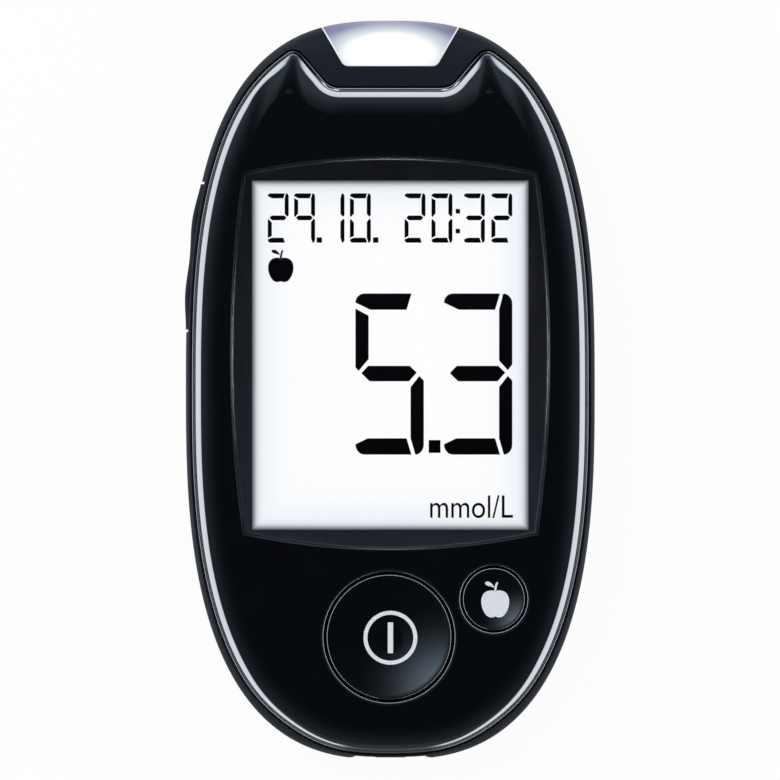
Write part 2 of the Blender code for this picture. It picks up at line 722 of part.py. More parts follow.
def make_front_cover():
    outer = [
        cover_ring(EDGE_ROUND_WIDTH * inward, COVER_FOOT_Z + EDGE_ROUND_HEIGHT * upward)
        for inward, upward in EDGE_ROUND_SHARES
    ]
    inner = [
        cover_ring(COVER_SKIRT, COVER_FOOT_Z),
        cover_ring(COVER_SKIRT, COVER_UNDER_Z - COVER_PLATE / 2),
        cover_ring(COVER_SKIRT + COVER_PLATE / 2, COVER_UNDER_Z),
    ]
    cover = loft(
        "front_cover", list(reversed(outer)) + inner, PARTS,
        colour=GLOSS_BLACK, roughness=0.08,
    )
    boss_top = COVER_UNDER_Z + COVER_PLATE / 4
    for boss in screw_tools("cover_boss", COVER_BOSS_RADIUS, BOARD_TOP_Z + SEAM, boss_top):
        cut(cover, boss, "UNION")
    hole_top = BOARD_TOP_Z + SEAM + SCREW_BITE + SEAM
    for hole in screw_tools("cover_hole", SCREW_RADIUS + RUNNING_GAP, 0, hole_top):
        cut(cover, hole)
    pocket_floor = BODY_THICKNESS - WINDOW_SINK - WINDOW_THICKNESS - SEAM
    cut(cover, prism("window_pocket", window_outline(SEAM), pocket_floor, BODY_THICKNESS + OVERRUN, CUTTERS))
    view_low = (-VIEW_WIDTH / 2, DISPLAY_Y - VIEW_LENGTH / 2, COVER_FOOT_Z)
    view_high = (VIEW_WIDTH / 2, DISPLAY_Y + VIEW_LENGTH / 2, BODY_THICKNESS + OVERRUN)
    cut(cover, block("view_opening", view_low, view_high, CUTTERS))
    for name, place, radius, gap in (
        ("power_opening", POWER_PLACE, POWER_RADIUS, POWER_GAP),
        ("mark_opening", MARK_PLACE, MARK_RADIUS, MARK_GAP),
    ):
        top = BODY_THICKNESS + OVERRUN
        cut(cover, rod(name, place, radius + gap, COVER_FOOT_Z, top, CUTTERS, steps=ROUND_STEPS))
    return cover


def make_window():
    top = BODY_THICKNESS - WINDOW_SINK
    return prism(
        "display_window", window_outline(0), top - WINDOW_THICKNESS, top, PARTS,
        colour=CLEAR, roughness=0.04,
    )


def make_display():
    """The display's glass, its light plate, the tray under both and the two connector strips."""
    half = VIEW_WIDTH / 2 + CELL_BORDER
    upper = DISPLAY_Y + VIEW_LENGTH / 2 + CELL_FOOT_BORDER
    lower = DISPLAY_Y - VIEW_LENGTH / 2 - CELL_FOOT_BORDER
    block(
        "lcd_cell", (-half, lower, CELL_FOOT_Z), (half, upper, CELL_TOP_Z), PARTS,
        colour=DISPLAY_WHITE, roughness=0.3,
    )
    guide_low = (-half, lower + GUIDE_SHORT, GUIDE_FOOT_Z)
    guide_high = (half, upper - GUIDE_SHORT, CELL_FOOT_Z - SEAM)
    block("light_guide", guide_low, guide_high, PARTS, colour=FROSTED_WHITE, roughness=0.2)
    wall = HOLDER_WALL + SEAM
    holder_low = (-half - wall, lower - wall, HOLDER_FOOT_Z)
    holder_high = (half + wall, upper + wall, CELL_TOP_Z)
    holder = block("lcd_holder", holder_low, holder_high, PARTS, colour=FROSTED_WHITE, roughness=0.45)
    room_low = (-half - SEAM, lower - SEAM, GUIDE_FOOT_Z - SEAM)
    room_high = (half + SEAM, upper + SEAM, BODY_THICKNESS)
    cut(holder, block("holder_room", room_low, room_high, CUTTERS))
    for name, edge, side in (("zebra_strip_upper", upper, -1), ("zebra_strip_lower", lower, 1)):
        near, far = sorted((edge + side * SEAM, edge + side * (SEAM + ZEBRA_WIDTH)))
        half_strip = half - ZEBRA_SHORT
        strip_low = (-half_strip, near, HOLDER_FOOT_Z)
        strip_high = (half_strip, far, CELL_FOOT_Z - SEAM)
        block(name, strip_low, strip_high, PARTS, colour=RUBBER_BLACK, roughness=0.7)
        slot_low = (-half_strip - SEAM, near - SEAM, 0)
        slot_high = (half_strip + SEAM, far + SEAM, BODY_THICKNESS)
        cut(holder, block(f"{name}_slot", slot_low, slot_high, CUTTERS))


def make_board():
    board = prism(
        "main_board", [oval_point(turn, BOARD_INSET) for turn in turns()], BOARD_Z, BOARD_TOP_Z, PARTS,
        colour=BOARD_GREEN, roughness=0.4,
    )
    for hole in screw_tools("board_hole", SCREW_RADIUS + BOARD_HOLE_GAP, 0, BODY_THICKNESS):
        cut(board, hole)


def hang_on_board(name, size, place, **finish):
    """A component under the circuit board."""
    top = BOARD_Z - SEAM
    low = (place[0] - size[0] / 2, place[1] - size[1] / 2, top - size[2])
    high = (place[0] + size[0] / 2, place[1] + size[1] / 2, top)
    block(name, low, high, PARTS, **finish)


def stand_on_board(name, size, place, **finish):
    """A component on top of the circuit board."""
    foot = BOARD_TOP_Z + SEAM
    low = (place[0] - size[0] / 2, place[1] - size[1] / 2, foot)
    high = (place[0] + size[0] / 2, place[1] + size[1] / 2, foot + size[2])
    block(name, low, high, PARTS, **finish)


def make_components():
    hang_on_board("processor_chip", PROCESSOR_SIZE, PROCESSOR_PLACE, colour=CHIP_BLACK, roughness=0.5)
    hang_on_board("measuring_chip", MEASURING_SIZE, MEASURING_PLACE, colour=CHIP_BLACK, roughness=0.5)
    hang_on_board("memory_chip", MEMORY_SIZE, MEMORY_PLACE, colour=CHIP_BLACK, roughness=0.5)
    hang_on_board("crystal", CRYSTAL_SIZE, CRYSTAL_PLACE, colour=NICKEL, roughness=0.25, metallic=1.0)
    top = BOARD_Z - SEAM
    rod(
        "buzzer", BUZZER_PLACE, BUZZER_RADIUS, top - BUZZER_HEIGHT, top, PARTS,
        steps=ROUND_STEPS, colour=GOLD, roughness=0.3, metallic=1.0,
    )
    for name, side in (("port_led_left", -1), ("port_led_right", 1)):
        place = (side * LED_PLACE[0], LED_PLACE[1])
        stand_on_board(name, LED_SIZE, place, colour=FROSTED_WHITE, roughness=0.3)


def make_button(name, place, radius, dish, flange_radius, stem_radius):
    """A dished round button with a flange that keeps it in the front cover, and a stem down to the mat."""
    rim = BODY_THICKNESS
    flange_top = COVER_UNDER_Z - SEAM
    flange_foot = flange_top - BUTTON_FLANGE_THICKNESS
    stem_foot = BOARD_TOP_Z + SEAM + MAT_THICKNESS + MAT_DOME_HEIGHT + BUTTON_TRAVEL + BUTTON_REST_CLEARANCE
    dish_radius = radius - BUTTON_RIM
    profile = []
    for step in range(DISH_STEPS + 1):
        share = step / DISH_STEPS
        profile.append((dish_radius * share, rim - dish * (1 - share * share)))
    profile += [
        (radius - BUTTON_EDGE, rim),
        (radius, rim - BUTTON_EDGE),
        (radius, flange_top),
        (flange_radius, flange_top),
        (flange_radius, flange_foot),
        (stem_radius, flange_foot),
        (stem_radius, stem_foot),
        (0, stem_foot),
    ]
    return turned(name, profile, place, ROUND_STEPS, PARTS, colour=GLOSS_BLACK, roughness=0.1)


def make_buttons():
    power_flange = POWER_RADIUS + POWER_GAP + BUTTON_FLANGE
    mark_flange = MARK_RADIUS + MARK_GAP + BUTTON_FLANGE
    make_button("power_button", POWER_PLACE, POWER_RADIUS, POWER_DISH, power_flange, POWER_STEM_RADIUS)
    make_button("mark_button", MARK_PLACE, MARK_RADIUS, MARK_DISH, mark_flange, MARK_STEM_RADIUS)


def make_keypad():
    """The silicone mat with a hollow dome under each button, and the two snap domes."""
    foot = HOLDER_FOOT_Z
    top = foot + MAT_THICKNESS
    low = (POWER_PLACE[0] - MAT_REACH, POWER_PLACE[1] - MAT_REACH, foot)
    high = (MARK_PLACE[0] + MAT_REACH, MARK_PLACE[1] + MAT_REACH, top)
    mat = block("keypad_mat", low, high, PARTS, colour=SILICONE_GREY, roughness=0.6)
    for name, place in (("power", POWER_PLACE), ("mark", MARK_PLACE)):
        dome_top = top + MAT_DOME_HEIGHT
        dome = rod(f"{name}_dome", place, MAT_DOME_RADIUS, foot + MAT_THICKNESS / 2, dome_top, CUTTERS)
        cut(mat, dome, "UNION")
    for name, place in (("power", POWER_PLACE), ("mark", MARK_PLACE)):
        room_top = top + MAT_DOME_HEIGHT - MAT_DOME_WALL
        cut(mat, rod(f"{name}_dome_room", place, MAT_DOME_RADIUS - MAT_DOME_WALL, 0, room_top, CUTTERS))
        rod(
            f"{name}_snap_dome", place, SNAP_RADIUS, foot, foot + SNAP_THICKNESS, PARTS,
            colour=NICKEL, roughness=0.25, metallic=1.0,
        )


def rocker_edge(y):
    """How far the rocker's two bumps stand out of the outline."""
    share = (y - ROCKER_LOWER_Y) / (ROCKER_UPPER_Y - ROCKER_LOWER_Y)
    return ROCKER_DIP + (ROCKER_BULGE - ROCKER_DIP) * math.sin(2 * math.pi * share) ** 2


def make_rocker():
    """The two-way rocker: a bowed bar with two bumps, a lug on its pin and a nub behind each end."""
    low_y = ROCKER_LOWER_Y + ROCKER_END_GAP
    high_y = ROCKER_UPPER_Y - ROCKER_END_GAP
    middle_y = (low_y + high_y) / 2
    middle_z = (ROCKER_FOOT_Z + ROCKER_TOP_Z) / 2
    places = [high_y + (low_y - high_y) * step / ROCKER_STEPS for step in range(ROCKER_STEPS + 1)]
    rings = []
    for upward, leaning in ROCKER_LEVEL_SHARES:
        height = ROCKER_FOOT_Z + (ROCKER_TOP_Z - ROCKER_FOOT_Z) * upward
        face = [(-oval_half_width(y) - rocker_edge(y) + ROCKER_LEAN * leaning, y) for y in places]
        back = [(-oval_half_width(y) + ROCKER_DEPTH, y) for y in reversed(places)]
        rings.append(raised(face + back, height))
    rocker = loft("side_rocker", rings, PARTS, colour=MATT_BLACK, roughness=0.6)
    pin_x = -oval_half_width(middle_y) + PIN_INSET
    back_x = pin_x - PIN_INSET + ROCKER_DEPTH
    lug_low = (back_x - ROCKER_DEPTH / 2, middle_y - LUG_WIDTH / 2, middle_z - LUG_HEIGHT / 2)
    lug_high = (back_x + LUG_DEPTH - ROCKER_DEPTH / 2, middle_y + LUG_WIDTH / 2, BOARD_Z - SEAM)
    cut(rocker, block("rocker_lug", lug_low, lug_high, CUTTERS), "UNION")
    switch_foot = BOARD_TOP_Z - SEAM - NUB_HEIGHT
    for name, y in (("up", high_y - NUB_END), ("down", low_y + NUB_END)):
        wall_x = -oval_half_width(y) + ROCKER_DEPTH
        nub_low = (wall_x - ROCKER_DEPTH / 2, y - NUB_WIDTH / 2, switch_foot)
        nub_high = (wall_x + NUB_REACH, y + NUB_WIDTH / 2, switch_foot + NUB_HEIGHT)
        cut(rocker, block(f"rocker_nub_{name}", nub_low, nub_high, CUTTERS), "UNION")
        face_x = wall_x + NUB_REACH + SWITCH_GAP
        switch_low = (face_x, y - SWITCH_SIZE[1] / 2, BOARD_Z - SEAM - SWITCH_SIZE[2])
        switch_high = (face_x + SWITCH_SIZE[0], y + SWITCH_SIZE[1] / 2, BOARD_Z - SEAM)
        block(
            f"rocker_switch_{name}", switch_low, switch_high, PARTS,
            colour=NICKEL, roughness=0.35, metallic=1.0,
        )
    hole_radius = PIN_RADIUS + RUNNING_GAP
    cut(rocker, rod("rocker_bore", (pin_x, middle_y), hole_radius, 0, BODY_THICKNESS, CUTTERS))
    pin_foot = ROCKER_FOOT_Z - SEAM - PIN_SOCKET
    pin_top = ROCKER_TOP_Z + SEAM + PIN_SOCKET
    rod(
        "rocker_pin", (pin_x, middle_y), PIN_RADIUS, pin_foot, pin_top, PARTS,
        colour=NICKEL, roughness=0.2, metallic=1.0,
    )
    socket = rod("pin_socket", (pin_x, middle_y), hole_radius, pin_foot - SEAM, pin_top + SEAM, CUTTERS)
    move_origin(rocker, (pin_x, middle_y, 0))
    return socket


def make_screws():
    head_foot = SCREW_SINK
    head_top = head_foot + SCREW_HEAD_HEIGHT
    tip = BOARD_TOP_Z + SEAM + SCREW_BITE
    profile = (
        (0, tip),
        (SCREW_RADIUS, tip),
        (SCREW_RADIUS, head_top),
        (SCREW_HEAD_RADIUS, head_top),
        (SCREW_HEAD_RADIUS, head_foot),
        (0, head_foot),
    )
    for number, place in enumerate(SCREW_PLACES, 1):
        turned(
            f"case_screw_{number}", profile, place, SCREW_STEPS, PARTS,
            colour=NICKEL, roughness=0.3, metallic=1.0,
        )


def make_battery_bay():
    """Tray, two coin cells and their contacts, from the rear shell's floor up."""
    tray_low = (-TRAY_HALF, -TRAY_REACH, WALL + SEAM)
    tray_high = (TRAY_HALF, TRAY_REACH, TRAY_TOP_Z)
    tray = block("battery_tray", tray_low, tray_high, PARTS, colour=CHIP_BLACK, roughness=0.5)
    room_high = (BAY_HALF, BAY_END, TRAY_TOP_Z - TRAY_ROOF)
    cut(tray, block("tray_room", (-BAY_HALF, -BAY_END, 0), room_high, CUTTERS))
    centre = CELL_RADIUS + COIN_GAP / 2
    for name, side in (("upper", 1), ("lower", -1)):
        rod(
            f"battery_cell_{name}", (0, side * centre), CELL_RADIUS, COIN_FOOT_Z, COIN_TOP_Z, PARTS,
            steps=COIN_STEPS, colour=NICKEL, roughness=0.25, metallic=1.0,
        )
    strip_foot = COIN_TOP_Z + SEAM
    strip_top = strip_foot + CONTACT_THICKNESS
    leg_top = BOARD_Z - SEAM
    for name, x, side in (("plus", -CONTACT_SPREAD, 1), ("minus", CONTACT_SPREAD, -1)):
        y = side * centre
        low_y, high_y = y - CONTACT_LENGTH / 2, y + CONTACT_LENGTH / 2
        outline = [
            (low_y, strip_foot),
            (high_y, strip_foot),
            (high_y, leg_top),
            (high_y - CONTACT_THICKNESS, leg_top),
            (high_y - CONTACT_THICKNESS, strip_top),
            (low_y, strip_top),
        ]
        half = CONTACT_WIDTH / 2
        rings = [[(x + offset, *corner) for corner in outline] for offset in (-half, half)]
        loft(f"cell_contact_{name}", rings, PARTS, colour=GOLD, roughness=0.25, metallic=1.0)
        slot_low = (x - half - SEAM, high_y - CONTACT_THICKNESS - SEAM, COIN_TOP_Z)
        slot_high = (x + half + SEAM, high_y + SEAM, BOARD_Z)
        cut(tray, block(f"contact_slot_{name}", slot_low, slot_high, CUTTERS))
    half = BRIDGE_LENGTH / 2
    bridge_x = CONTACT_WIDTH / 2
    low = (-bridge_x, -half, strip_foot)
    block("cell_bridge", low, (bridge_x, half, strip_top), PARTS, colour=GOLD, roughness=0.25, metallic=1.0)


def make_battery_door():
    """The rear door, with two tabs that it hangs on at its upper end and a latch at the other."""
    inner = DOOR_SINK + DOOR_THICKNESS
    plate = rounded_rectangle(DOOR_WIDTH, DOOR_LENGTH, DOOR_ROUND, (0, 0))
    door = prism("battery_door", plate, DOOR_SINK, inner, PARTS, colour=MATT_BLACK, roughness=0.55)
    edge = DOOR_LENGTH / 2
    root_foot = inner - DOOR_THICKNESS / 2
    tab_foot = WALL + SEAM
    tab_top = tab_foot + DOOR_TAB_THICKNESS
    for name, x in (("left", -DOOR_TAB_PLACE), ("right", DOOR_TAB_PLACE)):
        low_x, high_x = x - DOOR_TAB_WIDTH / 2, x + DOOR_TAB_WIDTH / 2
        root_low = (low_x, edge - DOOR_TAB_ROOT, root_foot)
        cut(door, block(f"tab_root_{name}", root_low, (high_x, edge, tab_top), CUTTERS), "UNION")
        tab_low = (low_x, edge - DOOR_TAB_ROOT / 2, tab_foot)
        tab_high = (high_x, edge + DOOR_TAB_REACH, tab_top)
        cut(door, block(f"tab_hook_{name}", tab_low, tab_high, CUTTERS), "UNION")
    half = DOOR_LATCH_WIDTH / 2
    latch_low = (-half, -edge + SEAM, root_foot)
    latch_high = (half, -edge + SEAM + DOOR_TAB_ROOT, inner + DOOR_LATCH_HEIGHT)
    cut(door, block("door_latch", latch_low, latch_high, CUTTERS), "UNION")
    move_origin(door, (0, edge, DOOR_SINK))


def make_strip_connector():
    """The two halves of the strip connector, with the slot between them, and its three contacts."""
    half = CONNECTOR_WIDTH / 2
    slot_half = STRIP_SLOT_WIDTH / 2
    front = HALF_LENGTH - CONNECTOR_END_INSET
    back = front - CONNECTOR_LENGTH
    slot_top = STRIP_SLOT_Z + STRIP_SLOT_HEIGHT
    base = block(
        "strip_connector_base", (-half, back, STRIP_SLOT_Z - CONNECTOR_FLOOR), (half, front, slot_top), PARTS,
        colour=CHIP_BLACK, roughness=0.5,
    )
    room_low = (-slot_half, back + CONNECTOR_FLOOR, STRIP_SLOT_Z)
    cut(base, block("connector_room", room_low, (slot_half, front + OVERRUN, BOARD_Z), CUTTERS))
    lid_foot = slot_top + SEAM
    lid_top = BOARD_Z - SEAM
    lid = block(
        "strip_connector_lid", (-half, back, lid_foot), (half, front, lid_top), PARTS,
        colour=FROSTED_WHITE, roughness=0.4,
    )
    for number, column in enumerate((-1, 0, 1), 1):
        x = column * STRIP_CONTACT_PITCH
        wire = STRIP_CONTACT_WIDTH / 2
        groove = wire + SEAM
        groove_low = (x - groove, back - OVERRUN, lid_foot - OVERRUN)
        groove_high = (x + groove, back + STRIP_CONTACT_LENGTH + SEAM, lid_top - CONNECTOR_FLOOR / 2)
        cut(lid, block(f"contact_groove_{number}", groove_low, groove_high, CUTTERS))
        wire_top = lid_top - CONNECTOR_FLOOR / 2 - SEAM
        wire_low = (x - wire, back + SEAM, lid_foot)
        wire_high = (x + wire, back + STRIP_CONTACT_LENGTH, wire_top)
        block(
            f"strip_contact_{number}", wire_low, wire_high, PARTS,
            colour=GOLD, roughness=0.25, metallic=1.0,
        )


def make_data_socket():
    """The data socket behind the bottom edge, its tongue, and the cover that closes it."""
    half = JACK_WIDTH / 2
    top = BOARD_Z - SEAM
    face_y = -HALF_LENGTH + max(FRAME_WALL, RECESS_DEPTH + PORT_COVER_THICKNESS) + SEAM
    back_y = face_y + JACK_LENGTH
    shell = block(
        "data_jack_shell", (-half, face_y, JACK_FOOT_Z), (half, back_y, top), PARTS,
        colour=NICKEL, roughness=0.25, metallic=1.0,
    )
    room_low = (-half + JACK_WALL, face_y - OVERRUN, JACK_FOOT_Z + JACK_WALL)
    room_high = (half - JACK_WALL, back_y - JACK_WALL, top - JACK_WALL)
    cut(shell, block("jack_room", room_low, room_high, CUTTERS))
    middle = (JACK_FOOT_Z + top) / 2
    tongue_low = (-TONGUE_WIDTH / 2, face_y + SEAM, middle - TONGUE_THICKNESS / 2)
    tongue_high = (TONGUE_WIDTH / 2, back_y - JACK_WALL - SEAM, middle + TONGUE_THICKNESS / 2)
    block("data_jack_tongue", tongue_low, tongue_high, PARTS, colour=CHIP_BLACK, roughness=0.5)
    cover_half = SOCKET_HALF - SEAM
    cover_foot = SOCKET_FOOT_Z + SEAM
    cover_low = (-cover_half, -HALF_LENGTH - OVERRUN, cover_foot)
    cover_high = (cover_half, -HALF_LENGTH + RECESS_DEPTH + PORT_COVER_THICKNESS, REAR_HEIGHT - SEAM / 2)
    cover = block("port_cover", cover_low, cover_high, PARTS, colour=RUBBER_BLACK, roughness=0.7)
    cut(cover, bpy.data.objects["recess_core"], "INTERSECT")
    angle = math.asin((REAR_HEIGHT - cover_foot) / REAR_HEIGHT)
    hinge_y = -HALF_LENGTH + RECESS_DEPTH + REAR_ROUND * (1 - math.cos(angle))
    move_origin(cover, (0, hinge_y, cover_foot))


def make_label():
    outline = rounded_rectangle(LABEL_WIDTH, LABEL_LENGTH, LABEL_ROUND, (0, LABEL_Y))
    prism(
        "rear_label", outline, LABEL_SINK, LABEL_SINK + LABEL_THICKNESS, PARTS,
        colour=LABEL_SILVER, roughness=0.4,
    )


def main():
    rear_cover = make_rear_cover()
    middle_frame = make_middle_frame()
    make_lens()
    recess = make_recess_tool()
    rocker_opening = make_rocker_tool()
    pin_socket = make_rocker()
    for shell in (rear_cover, middle_frame):
        cut(shell, recess)
        cut(shell, rocker_opening)
        cut(shell, pin_socket)
    make_front_cover()
    make_window()
    make_display()
    make_board()
    make_components()
    make_buttons()
    make_keypad()
    make_screws()
    make_battery_bay()
    make_battery_door()
    make_strip_connector()
    make_data_socket()
    make_label()


main()
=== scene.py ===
# %% [markdown]
# # The looks of a blood glucose meter
# The meter has an oval housing with a gloss black front, a lit display, two round buttons, a rocker in
# its left edge and a frosted light over the strip port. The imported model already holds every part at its
# true size. This lesson loads it as a fixed frame, models the visible shells again with finer shapes, and
# gives each part the finish of the real one.

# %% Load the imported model
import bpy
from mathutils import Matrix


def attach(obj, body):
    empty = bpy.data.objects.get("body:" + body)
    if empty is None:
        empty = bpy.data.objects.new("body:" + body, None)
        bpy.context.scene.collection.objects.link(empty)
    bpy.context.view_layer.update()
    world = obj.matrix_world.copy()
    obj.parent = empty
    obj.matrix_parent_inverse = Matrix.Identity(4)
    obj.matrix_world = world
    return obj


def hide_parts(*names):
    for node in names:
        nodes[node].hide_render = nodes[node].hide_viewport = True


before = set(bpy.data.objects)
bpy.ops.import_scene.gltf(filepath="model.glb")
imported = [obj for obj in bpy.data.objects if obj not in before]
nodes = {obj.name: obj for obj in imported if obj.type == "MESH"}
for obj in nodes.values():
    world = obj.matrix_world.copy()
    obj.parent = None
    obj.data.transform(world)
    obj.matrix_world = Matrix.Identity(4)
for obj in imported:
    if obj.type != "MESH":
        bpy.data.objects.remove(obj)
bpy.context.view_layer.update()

# %% [markdown]
# All lengths are in metres, and most of them are easier to read in millimetres, so MM turns one into the
# other. Heights are above the table that the meter lies on.

# %% Units and modules
import math

import bmesh
import bpy
from mathutils import Vector

MM = 0.001
scene = bpy.context.scene

# %% [markdown]
# ## Selecting and reading
# An operator acts on whatever is selected, and the loaded parts start out selected. So each step first
# lets go of everything and picks one piece.


# %% Selection
def pick(piece=None):
    """Leaves edit mode, deselects everything and makes one piece active."""
    if bpy.context.object and bpy.context.object.mode != "OBJECT":
        bpy.ops.object.mode_set(mode="OBJECT")
    bpy.ops.object.select_all(action="DESELECT")
    if piece:
        piece.select_set(True)
        bpy.context.view_layer.objects.active = piece


pick()
print("nothing is selected")

# %% [markdown]
# ## Colours and nodes
# Colours are written as the hex values that a colour picker shows. Shaders want linear light, so one
# function turns the one into the other, and another adds a node with its settings and links.


# %% Colour and node helpers
def hexed(code):
    """An sRGB hex colour as the linear RGBA that a socket wants."""
    parts = [int(code[start:start + 2], 16) / 255 for start in (1, 3, 5)]
    return (*[c / 12.92 if c <= 0.04045 else ((c + 0.055) / 1.055) ** 2.4 for c in parts], 1.0)


def add_node(tree, kind, settings=(), inputs=()):
    """Adds a node with its settings, and sets or links its sockets.

    A single word as settings is the operation or the interpolation. Inputs in a tuple go to the first sockets,
    and a node as input is its first output.
    """
    node = tree.nodes.new("ShaderNode" + kind)
    if isinstance(settings, str):
        settings = {"operation" if hasattr(node, "operation") else "interpolation_type": settings}
    for name, value in dict(settings).items():
        setattr(node, name, value)
    for key, value in inputs.items() if isinstance(inputs, dict) else enumerate(inputs):
        if isinstance(value, bpy.types.Node):
            value = value.outputs[0]
        if isinstance(value, bpy.types.NodeSocket):
            tree.links.new(value, node.inputs[key])
        else:
            node.inputs[key].default_value = value
    return node


def new_material(name, inputs):
    """A material with one principled shader; returns the material, its tree, the shader and coordinates."""
    material = bpy.data.materials.new(name)
    material.use_nodes = True
    tree = material.node_tree
    tree.nodes.clear()
    shader = add_node(tree, "BsdfPrincipled", inputs=inputs)
    add_node(tree, "OutputMaterial", inputs={"Surface": shader})
    place = add_node(tree, "TexCoord").outputs["Object"]
    return material, tree, shader, place


print("black plastic in linear light:", [round(c, 4) for c in hexed("#0c0d0f")])

# %% [markdown]
# ## Plastics of the housing
# The front cover is ABS moulded in a polished tool, the piano black of phone fronts. It is nearly a
# mirror, with a faint waviness from the moulding. The band and the rear shell come from a spark eroded
# tool, whose fine craters make the plastic matt. Real craters are 0.02 to 0.05 mm wide, too fine for the
# picture, so the grain is drawn at about 0.16 mm.


# %% Plastics
def grain(tree, shader, place, size, depth, detail=3.0):
    """Bumps a surface with noise whose grains have a real size and depth."""
    noise = add_node(tree, "TexNoise", inputs={"Vector": place, "Scale": 1 / size, "Detail": detail})
    bump = add_node(tree, "Bump", inputs={"Height": noise, "Strength": 1.0, "Distance": depth})
    tree.links.new(bump.outputs[0], shader.inputs["Normal"])
    return noise


def tinted(tree, shader, fac, low, high):
    """Lets a pattern move the base colour between two hex colours."""
    mix = add_node(tree, "Mix", {"data_type": "RGBA"}, {0: fac, 6: hexed(low), 7: hexed(high)})
    tree.links.new(mix.outputs[2], shader.inputs["Base Color"])


def rubbed(tree, shader, fac, low, high):
    """Lets a pattern move the roughness between two values."""
    spread = add_node(tree, "MapRange", inputs={0: fac, 3: low, 4: high})
    tree.links.new(spread.outputs[0], shader.inputs["Roughness"])


def plastic(name, low, high, rough, size, depth, ior=1.54, sheen=0.5):
    """A moulded plastic: two colours, two roughnesses, the size and depth of its grain, and its gloss."""
    material, tree, shader, place = new_material(name, {"IOR": ior, "Specular IOR Level": sheen})
    noise = grain(tree, shader, place, size, depth)
    tinted(tree, shader, noise, low, high)
    rubbed(tree, shader, noise, *rough)
    return material


gloss_abs = plastic("polished_black_abs", "#07090c", "#090c0f", (0.035, 0.055), 9 * MM, 0.0012 * MM)
matt_abs = plastic("spark_eroded_abs", "#15191e", "#1b2026", (0.5, 0.64), 0.16 * MM, 0.012 * MM, sheen=0.02)
print("plastics:", gloss_abs.name, matt_abs.name)

# %% [markdown]
# The strip port's light is a frosted polycarbonate lens over two lamps. Its glow is painted into the colour,
# which also feeds a weak emission: white in the middle, violet grey where the outer edge curves away from
# the lamps, and a painted highlight line along its slanted sides.

# %% Frosted lens
LENS_GLOW_Y, LENS_GLOW_HALF = 47.5 * MM, (12.5 * MM, 5.76 * MM)
LENS_TOP_HALF, LENS_TOP_Y = 9.7 * MM, 51.35 * MM
LENS_FOOT_HALF, LENS_FOOT_Y = 6.6 * MM, 45.96 * MM
PAINTED_RIM_LINE = 0.16 * MM
RIM_SLANT = (LENS_TOP_HALF - LENS_FOOT_HALF) / (LENS_TOP_Y - LENS_FOOT_Y)
lens_pc, tree, shader, place = new_material(
    "frosted_polycarbonate_painted_glow",
    {"Roughness": 0.45, "IOR": 1.58, "Specular IOR Level": 0.1, "Subsurface Weight": 0.2, "Subsurface Scale": 1 * MM},
)
split = add_node(tree, "SeparateXYZ", inputs=(place,))
across = add_node(tree, "Math", "DIVIDE", (split, LENS_GLOW_HALF[0]))
along = add_node(tree, "Math", "SUBTRACT", (split.outputs[1], LENS_GLOW_Y))
along = add_node(tree, "Math", "DIVIDE", (along, LENS_GLOW_HALF[1]))
apart = add_node(tree, "CombineXYZ", inputs=(across, along))
apart = add_node(tree, "VectorMath", "LENGTH", (apart,))
cloud = add_node(tree, "TexNoise", inputs={"Vector": place, "Scale": 1 / (3 * MM)})
edge = add_node(tree, "Math", "MULTIPLY_ADD", (cloud, 0.04, apart.outputs["Value"]))
edge = add_node(tree, "Math", "SUBTRACT", (edge, 0.02))
# Painted glow: white in the middle, violet grey towards the edge, with a little noise in its border.
lens_painted_glow = add_node(tree, "ValToRGB", inputs=(edge,))
lens_painted_glow.color_ramp.elements[0].color = hexed("#ffffff")
lens_painted_glow.color_ramp.elements[1].color = hexed("#5c5b74")
for position, code in (
    (0.42, "#ffffff"), (0.53, "#eef2f4"), (0.625, "#cfd5d8"), (0.69, "#bcc3cb"), (0.7375, "#aeb3c1"),
    (0.7875, "#9b9fb6"), (0.83, "#888aa5"), (0.875, "#7c7d9b"), (0.94, "#6e6f8c"),
):
    lens_painted_glow.color_ramp.elements.new(position).color = hexed(code)
# A painted highlight: a hair-wide pale line along the lens's slanted sides.
rim = add_node(tree, "Math", "MULTIPLY_ADD", (split.outputs[1], RIM_SLANT, LENS_FOOT_HALF - LENS_FOOT_Y * RIM_SLANT))
width = add_node(tree, "Math", "ABSOLUTE", (split,))
rim = add_node(tree, "Math", "SUBTRACT", (rim, width))
rim = add_node(tree, "MapRange", "SMOOTHSTEP", (rim, PAINTED_RIM_LINE, 2 * PAINTED_RIM_LINE, 1.0, 0.0))
lens_painted_light = add_node(tree, "Mix", {"data_type": "RGBA"}, {0: rim, 6: lens_painted_glow, 7: hexed("#e6eaf2")})
tree.links.new(lens_painted_light.outputs[2], shader.inputs["Base Color"])
# The painted light also feeds a weak emission, so the lens glows a little by itself.
tree.links.new(lens_painted_light.outputs[2], shader.inputs["Emission Color"])
shader.inputs["Emission Strength"].default_value = 0.04
print("lens:", lens_pc.name)

# %% [markdown]
# ## Window and display
# The window is clear acrylic, so it only shows itself where it reflects. The display is lit from behind
# and shows an even bluish white. A real one darkens within a millimetre of its frame, because the frame
# shades it, and that painted shade is a colour that depends on the distance to the view's edge. Round the
# view the window has a black screen print on its back. Its colour gets greyer towards the lower end, which is a
# painted reflection.

